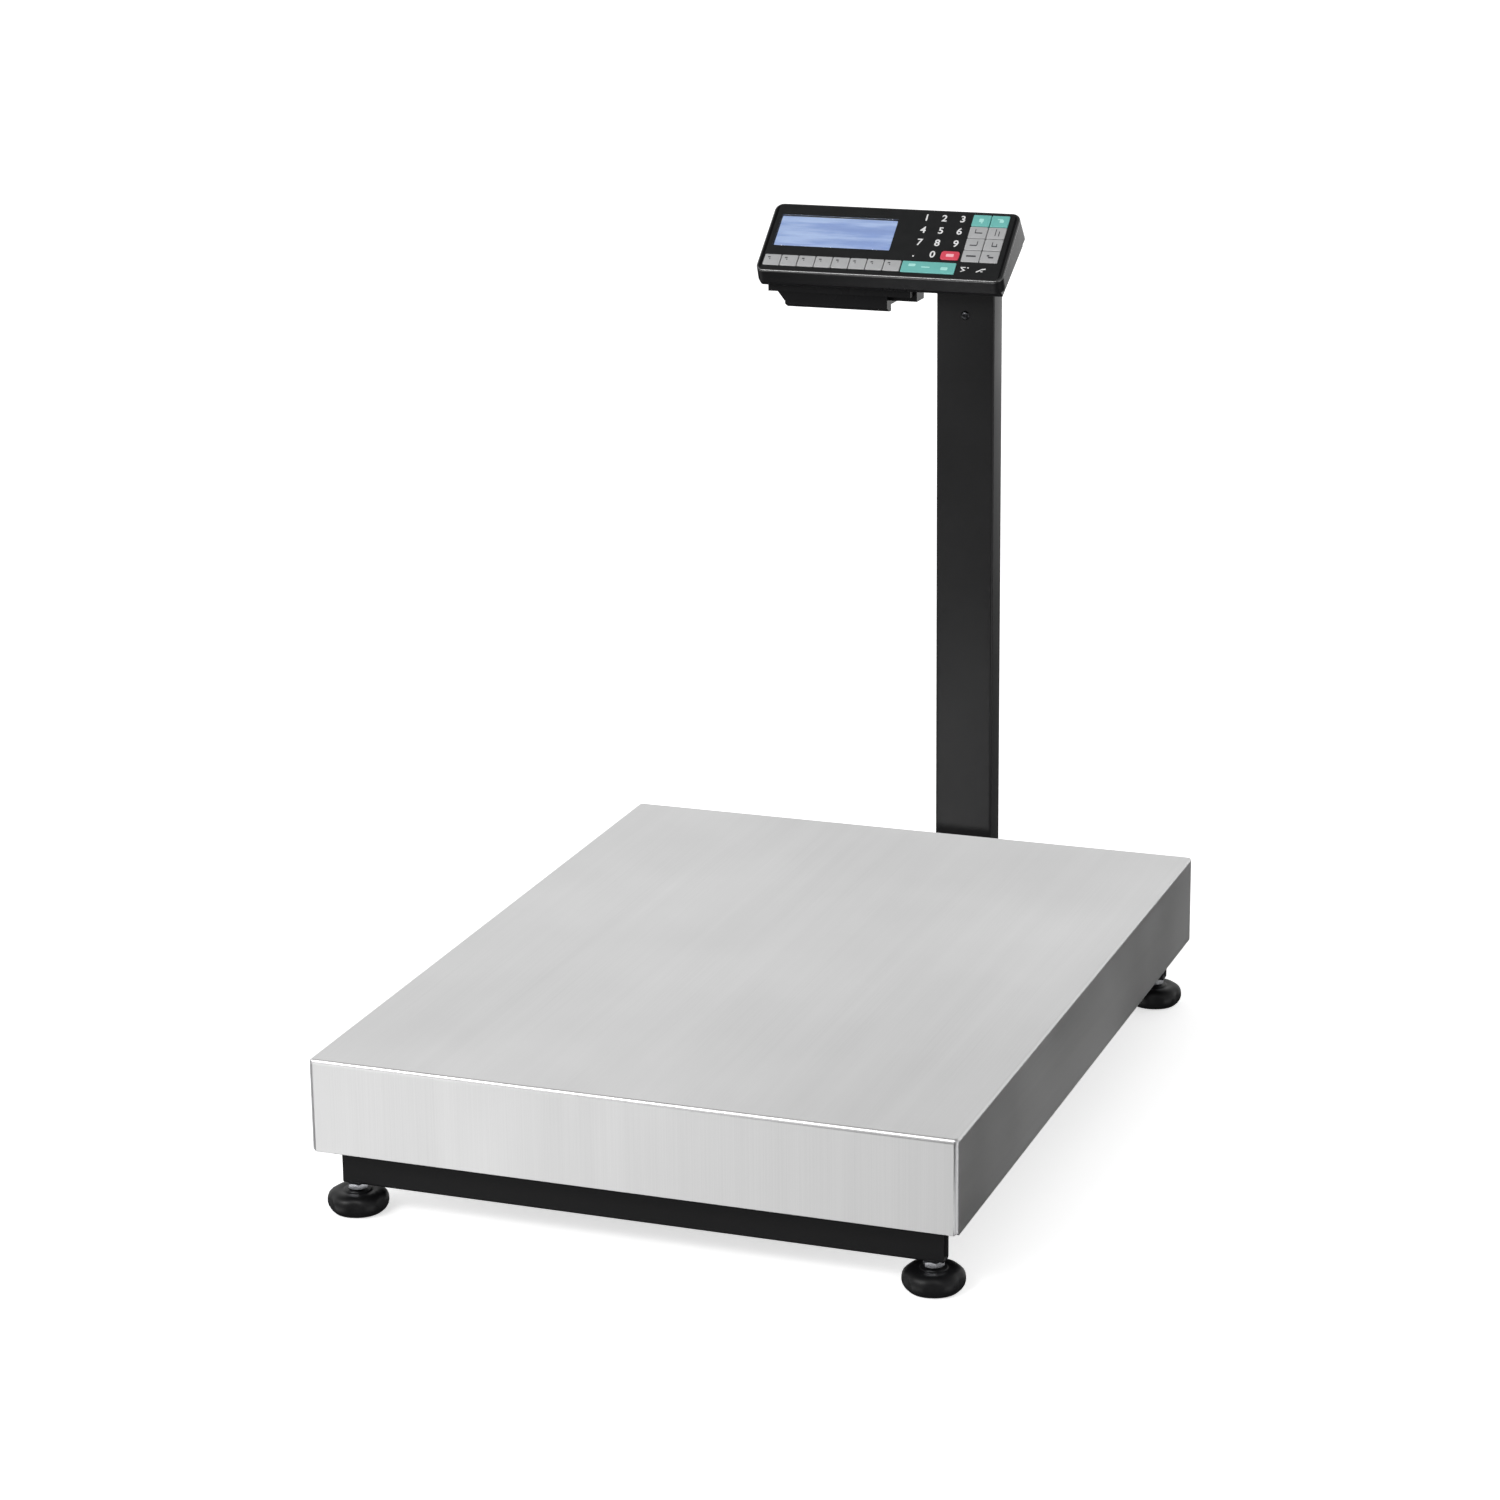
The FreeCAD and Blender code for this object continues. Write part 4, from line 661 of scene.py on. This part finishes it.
def post():
    """The flat tube that carries the terminal, with a moulded cap on its top end."""
    low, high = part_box("post_tube")
    half_x, half_y = (high.x - low.x) / 2, (high.y - low.y) / 2
    middle = (low + high) / 2

    def to_world(x, y, h):
        return Vector((middle.x + x, middle.y + y, low.z + h))

    data = bmesh.new()
    length = high.z - low.z
    levels = [(0, 2 * MM), (0, 0.3 * MM), (0.3 * MM, 0), (length - 0.3 * MM, 0), (length, 0.3 * MM)]
    levels += [(length, 1.8 * MM), (length - 1 * MM, 1.9 * MM)]
    slab(data, half_x, half_y, 2.6 * MM, levels, to_world, 8)
    shell = piece("post_shell", data, [POWDER], "base", "frame_paint", "post_tube")
    # Without this, the brushed platform would show a dark streak below the post.
    shell.visible_glossy = False


def hexagonal(flats):
    """A shape for lathe: rings of radius 0 are drawn as a hexagon with these flats."""
    return lambda r, height, angle: hexagon_reach(flats, angle) if r == 0 else r


def post_fasteners():
    """The blackened screw in the post's front, and the long bolt through its foot."""
    parts = solids("post_fasteners")
    bolt_low, bolt_high = min(parts, key=lambda b: b[0].z)
    screw_low, screw_high = max(parts, key=lambda b: b[0].z)
    data = bmesh.new()
    centre = (screw_low + screw_high) / 2
    post_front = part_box("post_tube")[0].y
    head = (centre.x, post_front, centre.z)
    profile = [
        (3.0 * MM, -4 * MM),
        (3.0 * MM, 0.02 * MM),
        (4.4 * MM, 0.02 * MM),
        (4.5 * MM, 0.3 * MM),
        (4.1 * MM, 1.0 * MM),
        (3.2 * MM, 1.6 * MM),
        (2.0 * MM, 1.95 * MM),
        (1.6 * MM, 1.97 * MM),
        (0, 1.9 * MM),
        (0, 0.7 * MM),
    ]
    lathe(data, head, profile, 48, hexagonal(2.5 * MM), 0, TOWARDS_FRONT)

    y, z = (bolt_low.y + bolt_high.y) / 2, (bolt_low.z + bolt_high.z) / 2
    reach = bolt_high.x - bolt_low.x
    saddle_low, saddle_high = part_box("post_saddle")
    left, right = saddle_low.x - bolt_low.x, saddle_high.x - bolt_low.x
    shank, washer, washer_flat, hexagon_top = 4.0 * MM, 8.0 * MM, 6.4 * MM, 5.6 * MM
    profile = [
        (shank, 0.4 * MM),
        (hexagon_top, 0.0),
        (0, 0.9 * MM),
        (0, left - 1.4 * MM),
        (washer_flat, left - 1.4 * MM),
        (washer, left - 1.2 * MM),
        (washer, left - 0.02 * MM),
        (shank, left),
        (shank, right),
        (washer, right + 0.02 * MM),
        (washer, right + 1.2 * MM),
        (washer_flat, right + 1.4 * MM),
        (0, right + 1.5 * MM),
        (0, right + 5.4 * MM),
        (hexagon_top, right + 6.2 * MM),
        (shank, right + 6.2 * MM),
        (shank - 0.1 * MM, reach - 0.6 * MM),
        (shank - 0.8 * MM, reach),
    ]
    lathe(data, (bolt_low.x, y, z), profile, 48, hexagonal(13 * MM), 1, ALONG_X)
    piece("post_bolts", data, [BLACK_OXIDE, ZINC], "base", "zinc_steel", "post_fasteners")


# ---------------------------------------------------------------- terminal face

TILT = math.radians(40)
FACE_RIGHT = Vector((1, 0, 0))
FACE_UP = Vector((0, math.cos(TILT), math.sin(TILT)))
FACE_OUT = Vector((0, -math.sin(TILT), math.cos(TILT)))
PRINT_THICKNESS = 0.02 * MM


def face_place(node):
    """A node's (lowest, highest) extents along the face's right, up and outward directions."""
    points = [v.co for v in frame["nodes"][node].data.vertices]
    spans = []
    for axis in (FACE_RIGHT, FACE_UP, FACE_OUT):
        along = [p.dot(axis) for p in points]
        spans.append((min(along), max(along)))
    return spans


def on_face(u, v, w):
    """A point of the row frame from distances along the face's own three directions."""
    return FACE_RIGHT * u + FACE_UP * v + FACE_OUT * w


def marks_for(name):
    """Generic bars printed on a key: (u, v, half width, half length), as shares of the key."""
    bars = {
        "function_key": [(-0.42, 0.22, 0.16, 0.055), (-0.30, 0.06, 0.07, 0.05)],
        "wide_key": [(-0.62, 0.14, 0.13, 0.12), (-0.1, 0.0, 0.16, 0.05), (0.60, -0.06, 0.13, 0.14)],
        "red_key": [(0.0, 0.0, 0.42, 0.17)],
    }
    for start, found in bars.items():
        if name.startswith(start):
            return found
    shapes = {
        "11": [(0.0, 0.02, 0.26, 0.15), (0.1, -0.2, 0.1, 0.05)],
        "12": [(0.2, 0.0, 0.24, 0.12), (0.0, 0.16, 0.3, 0.04)],
        "21": [(-0.3, 0.1, 0.05, 0.18), (0.1, -0.05, 0.42, 0.05)],
        "22": [(-0.1, 0.05, 0.05, 0.3), (0.3, -0.05, 0.05, 0.22)],
        "31": [(-0.1, -0.1, 0.4, 0.05), (0.3, 0.1, 0.05, 0.18)],
        "32": [(-0.1, 0.05, 0.05, 0.2), (0.2, -0.12, 0.3, 0.05), (0.4, 0.02, 0.05, 0.1)],
        "41": [(0.0, 0.0, 0.55, 0.07)],
        "42": [(-0.2, 0.1, 0.14, 0.07), (0.15, -0.05, 0.3, 0.07)],
    }
    return shapes[name[-2:]]


def key(node):
    """A tile key: a crowned cap with a rounded rim and generic printed marks."""
    (u0, u1), (v0, v1), (w0, w1) = face_place(node)
    u, v = (u0 + u1) / 2, (v0 + v1) / 2
    half_u, half_v = (u1 - u0) / 2, (v1 - v0) / 2
    corner = 3 * MM if node == "red_key" else 0.9 * MM
    rim = 0.5 * MM

    def to_world(x, y, h):
        return on_face(u + x, v + y, w1 + h)

    data = bmesh.new()
    levels = [(w0 - w1, 0), (-rim, 0)] + round_edge(rim, 4)[1:]
    slab(data, half_u, half_v, corner, levels, to_world)
    for mu, mv, mw, ml in marks_for(node):
        size_u, size_v = mw * half_u, ml * half_v * 2
        cu, cv = mu * half_u, mv * half_v * 2

        def mark_place(x, y, h, cu=cu, cv=cv):
            return on_face(u + cu + x, v + cv + y, w1 + h)

        levels = [(-0.05 * MM, 0), (PRINT_THICKNESS, 0)]
        slab(data, size_u, size_v, min(size_u, size_v) * 0.5, levels, mark_place, 3, 1)
    slot = {m["node"]: m["material_slot"] for m in frame["record"]["subparts"]}[node]
    cap, mark = {
        "key_grey": (KEY_GREY, PRINT_DARK),
        "key_teal": (KEY_TEAL, PRINT_TEAL),
        "key_red": (KEY_RED, PRINT_PINK),
    }[slot]
    piece(node + "_cap", data, [cap, mark], node, slot, node)


# Two small marks under the key block, as (u, v, turn in degrees, half width, half height) bars.
LEGEND_BARS = (
    (85.5, -28.2, 0, 2.6, 0.5),
    (85.6, -30.4, -38, 2.3, 0.6),
    (86.0, -32.6, 25, 2.6, 0.5),
    (90.6, -28.6, 0, 0.9, 0.7),
    (102.2, -31.8, 35, 3.0, 0.7),
    (106.4, -29.6, 12, 2.6, 0.7),
    (105.2, -32.6, 0, 1.2, 0.5),
)


def digits():
    """White digits printed on the foil, in the usual block of ten with a point."""
    (u0, u1), (v0, v1), (_, w1) = face_place("keypad_foil")
    middle_u, middle_v = (u0 + u1) / 2, (v0 + v1) / 2
    height = 11.6 * MM
    columns = [c * MM for c in (33.2, 51.6, 70.8)]
    rows = [r * MM for r in (33.2, 17.2, 1.2)]
    places = [(str(3 * r + c + 1), columns[c], rows[r]) for r in range(3) for c in range(3)]
    places += [(".", 31.0 * MM, -13.8 * MM), ("0", 50.2 * MM, -13.8 * MM)]
    turn = Matrix((FACE_RIGHT, FACE_UP, FACE_OUT)).transposed().to_4x4()
    data = bmesh.new()
    for text, u, v in places:
        curve = bpy.data.curves.new("digit", "FONT")
        curve.body = text
        curve.size = height
        curve.align_x, curve.align_y = "CENTER", "CENTER"
        curve.extrude = PRINT_THICKNESS
        curve.offset = 0.22 * MM
        curve.resolution_u = 6
        holder = bpy.data.objects.new("digit", curve)
        bpy.context.scene.collection.objects.link(holder)
        flat = bpy.data.meshes.new_from_object(holder)
        place = on_face(middle_u + u, middle_v + v, w1 + PRINT_THICKNESS)
        flat.transform(Matrix.Translation(place) @ turn)
        data.from_mesh(flat)
        bpy.data.objects.remove(holder)
        bpy.data.meshes.remove(flat)
        bpy.data.curves.remove(curve)
    for u, v, turned, half_u, half_v in LEGEND_BARS:
        centre = (middle_u + u * MM, middle_v + v * MM, w1)
        printed_bar(data, centre, turned, half_u * MM, half_v * MM)
    piece("digit_print", data, [PRINT_WHITE], "base", "foil_black")


def printed_bar(data, centre, turned, half_u, half_v):
    """A thin printed bar on the face, turned about the face's normal."""
    u, v, w = centre
    cosine, sine = math.cos(math.radians(turned)), math.sin(math.radians(turned))

    def to_world(x, y, h):
        return on_face(u + x * cosine - y * sine, v + x * sine + y * cosine, w + h)

    slab(data, half_u, half_v, half_v * 0.6, [(0, 0), (PRINT_THICKNESS, 0)], to_world, 3)


def face_rim():
    """The glossy bead where the face turns over into the case's walls."""
    (u0, u1), (v0, v1), (_, face_w) = face_place("keypad_foil")
    case_left, case_right = face_place("terminal_upper_case")[0]
    radius, depth, front_inset, side_inset = 2.28 * MM, 2.2 * MM, 1.57 * MM, 2.2 * MM
    half_face, corner, steps = 44.5 * MM, 6.8 * MM, 20
    half_u = (case_right - case_left) / 2 - side_inset
    half_v = half_face - (front_inset + side_inset) / 2
    middle_u, middle_v = (u0 + u1) / 2, (v0 + v1) / 2 + (front_inset - side_inset) / 2
    data = bmesh.new()
    path = rounded_outline(half_u, half_v, corner, 10)
    rings = []
    for i, (x, y) in enumerate(path):
        before, after = Vector(path[i - 1]), Vector(path[(i + 1) % len(path)])
        along = (after - before).normalized()
        outward = Vector((along.y, -along.x))
        points = []
        for step in range(steps):
            angle = 2 * math.pi * step / steps
            out = radius * math.cos(angle)
            u, v = middle_u + x + outward.x * out, middle_v + y + outward.y * out
            points.append(on_face(u, v, face_w - depth + radius * math.sin(angle)))
        rings.append(ring(data, points))
    bridge(data, rings, closed=True)
    piece("face_rim", data, [RIM], "base", "case_plastic")


def display():
    """The lit panel just under the clear window."""
    (u0, u1), (v0, v1), (w0, _) = face_place("display_lens")
    low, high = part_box("display_lens")
    margin = 0.6 * MM

    def to_world(x, y, h):
        return on_face((u0 + u1) / 2 + x, (v0 + v1) / 2 + y, w0 + h)

    data = bmesh.new()
    levels = [(-0.6 * MM, 0), (0.25 * MM, 0)]
    slab(data, (u1 - u0) / 2 - margin, (v1 - v0) / 2 - margin, 0.5 * MM, levels, to_world, 3)
    material = lit_display(low.x, high.x, low.z, high.z)
    piece("lit_panel", data, [material], "base", "display")


def window_pane():
    """A thin clear pane with a soft rim in the face."""
    (u0, u1), (v0, v1), (_, w1) = face_place("display_lens")

    def to_world(x, y, h):
        return on_face((u0 + u1) / 2 + x, (v0 + v1) / 2 + y, w1 + h)

    data = bmesh.new()
    levels = [(-0.8 * MM, 0)] + round_edge(0.2 * MM, 3)
    slab(data, (u1 - u0) / 2, (v1 - v0) / 2, 0.8 * MM, levels, to_world, 4)
    piece("window_pane", data, [WINDOW], "base", "lens", "display_lens")


# ---------------------------------------------------------------- carried-over nodes

SLOT_LOOKS = {
    "frame_paint": POWDER,
    "cell_metal": ALUMINIUM,
    "zinc_steel": ZINC,
    "pad_rubber": RUBBER,
    "foot_plastic": FOOT,
    "case_plastic": CASE,
    "foil_black": FOIL,
    "lens": WINDOW,
    "circuit": BOARD,
    "switch_black": SWITCH,
    "display": SWITCH,
    "gear_plastic": ACETAL,
    "label_paper": PAPER,
}


def dress_nodes():
    """Gives each CAD node that stays in view the node material of its slot."""
    for row in frame["record"]["subparts"]:
        look = SLOT_LOOKS.get(row["material_slot"])
        if look:
            materials = frame["nodes"][row["node"]].data.materials
            materials.clear()
            materials.append(look)


# ---------------------------------------------------------------- studio


# The brightness of the surroundings in four directions: front left, front right, far right and
# rear. Each runs from straight down, 0, to straight up, 1, as (height, brightness) pairs.
SKY_ZONES = (
    (
        (0.13, 0.08),
        (0.20, 1.0),
        (0.27, 2.5),
        (0.33, 2.25),
        (0.36, 0.70),
        (0.41, 0.12),
        (0.54, 0.20),
        (0.64, 1.9),
        (0.78, 1.7),
        (0.88, 0.30),
        (0.97, 0.22),
    ),
    ((0.12, 0.08), (0.34, 0.25), (0.54, 0.3), (0.64, 1.2), (0.92, 0.24)),
    ((0.22, 0.1), (0.28, 2.6), (0.40, 2.6), (0.46, 0.15), (0.66, 1.0), (0.92, 0.24)),
    (
        (0.30, 0.03),
        (0.388, 0.03),
        (0.425, 2.3),
        (0.455, 0.9),
        (0.56, 0.75),
        (0.64, 1.22),
        (0.76, 1.10),
        (0.92, 0.26),
    ),
)


def studio():
    """Pale floor, white backdrop, graded surroundings, a softbox and a narrow strip light."""
    scene = bpy.context.scene
    scene.view_settings.view_transform = "Standard"
    world = bpy.data.worlds.new("studio")
    scene.world = world
    world.use_nodes = True
    tree = world.node_tree

    def add(kind, **inputs):
        node = tree.nodes.new("ShaderNode" + kind)
        for name, value in inputs.items():
            socket = node.inputs[name.replace("_", " ")]
            if isinstance(value, bpy.types.NodeSocket):
                tree.links.new(value, socket)
            else:
                socket.default_value = value
        return node

    def ramp(value, *stops):
        """A smooth curve through (place, brightness) pairs."""
        node = tree.nodes.new("ShaderNodeValToRGB")
        node.color_ramp.interpolation = "EASE"
        points = node.color_ramp.elements
        while len(points) < len(stops):
            points.new(0.5)
        for point, (place, brightness) in zip(points, stops):
            point.position = place
            point.color = (brightness, brightness, brightness, 1.0)
        tree.links.new(value, node.inputs[0])
        return node.outputs[0]

    def halved(value):
        """Brings -1 to 1 into 0 to 1, as a ramp needs."""
        node = add("MapRange", Value=value, From_Min=-1.0, From_Max=1.0)
        return node.outputs[0]

    def mixed(share, first, second):
        node = tree.nodes.new("ShaderNodeMix")
        node.data_type = "RGBA"
        for socket, value in ((0, share), (6, first), (7, second)):
            tree.links.new(value, node.inputs[socket])
        return node.outputs[2]

    direction = add("TexCoord").outputs["Generated"]
    axes = add("SeparateXYZ", Vector=direction).outputs
    across, along, height = [halved(axis) for axis in axes]
    front_left, front_right, far_right, rear = [ramp(height, *zone) for zone in SKY_ZONES]
    front = mixed(ramp(across, (0.31, 0.0), (0.44, 1.0)), front_left, front_right)
    front = mixed(ramp(across, (0.80, 0.0), (0.90, 1.0)), front, far_right)
    around = mixed(ramp(along, (0.42, 0.0), (0.58, 1.0)), front, rear)
    tree.links.new(around, tree.nodes["Background"].inputs["Color"])

    floor_look = Look("studio_floor", Roughness=0.9, Specular_IOR_Level=0.0)
    shade = floor_look.noise(3.0, 2.0, 0.5)
    floor_look.drive("Base Color", floor_look.blend(shade, grey(0.93), grey(0.95)))
    floor_look.drive("Emission Color", grey(1.0))
    floor_look.shader.inputs["Emission Strength"].default_value = 0.62
    reach, dome_radius = 12.0, 11.5
    corners = [(x * reach, y * reach, 0) for x, y in ((-1, -1), (1, -1), (1, 1), (-1, 1))]
    data = bmesh.new()
    data.faces.new(ring(data, corners))
    floor = stage_piece("floor", data, floor_look.material)
    floor.visible_glossy = False

    glow = Look("backdrop_glow", Emission_Color=grey(1.0), Emission_Strength=1.0)
    glow.drive("Base Color", grey(0.0))
    data = bmesh.new()
    bmesh.ops.create_icosphere(data, subdivisions=3, radius=dome_radius)
    dome = stage_piece("backdrop", data, glow.material)
    for kind in ("glossy", "diffuse", "transmission", "shadow"):
        setattr(dome, "visible_" + kind, False)

    area_light("softbox", (-1.5, -3.2, 2.9), (2.2, 1.2), 60)
    edge_strip = area_light("edge_strip", (-1.3, -3.4, 2.5), (3.6, 0.4), 75)
    edge_strip.visible_diffuse = False


def area_light(name, place, size, energy):
    """A rectangular light aimed at the middle of the object."""
    lamp = bpy.data.lights.new(name, "AREA")
    lamp.shape = "RECTANGLE"
    lamp.size, lamp.size_y = size
    lamp.energy = energy
    holder = bpy.data.objects.new(name, lamp)
    bpy.context.scene.collection.objects.link(holder)
    holder.location = place
    aim = Vector((0, 0, 0.3)) - holder.location
    holder.rotation_euler = aim.to_track_quat("-Z", "Y").to_euler()
    return holder


def stage_piece(name, data, material):
    mesh = bpy.data.meshes.new(name)
    data.to_mesh(mesh)
    data.free()
    mesh.materials.append(material)
    made = bpy.data.objects.new(name, mesh)
    bpy.context.scene.collection.objects.link(made)
    return made


def camera():
    """A long lens from the operator's right, a little above the terminal."""
    eye = (1.2200, -3.4175, 1.4205)
    yaw, pitch, roll = math.radians(-20.2), math.radians(-16.55), math.radians(-0.65)
    level = math.cos(pitch)
    ahead = Vector((math.sin(yaw) * level, math.cos(yaw) * level, math.sin(pitch)))
    right = Vector((math.cos(yaw), -math.sin(yaw), 0))
    up = right.cross(ahead)
    rolled_right = math.cos(roll) * right + math.sin(roll) * up
    rolled_up = -math.sin(roll) * right + math.cos(roll) * up
    lens = bpy.data.cameras.new("view")
    lens.lens, lens.sensor_width = 96.72, 36.0
    lens.clip_start, lens.clip_end = 0.05, 100
    holder = bpy.data.objects.new("view", lens)
    bpy.context.scene.collection.objects.link(holder)
    turn = Matrix((rolled_right, rolled_up, -ahead)).transposed().to_4x4()
    holder.matrix_world = Matrix.Translation(eye) @ turn
    bpy.context.scene.camera = holder


# ---------------------------------------------------------------- everything

dress_nodes()
platform_cover()
for tube in ("front_beam", "rear_beam"):
    square_tube(tube + "_tube", tube, 0)
for corner in ("front_left", "front_right", "rear_left", "rear_right"):
    foot("foot_" + corner)
lock_nuts()
post()
post_fasteners()
for row in frame["record"]["subparts"]:
    if row["material_slot"] in ("key_grey", "key_teal", "key_red"):
        key(row["node"])
face_rim()
digits()
display()
window_pane()
studio()
camera()
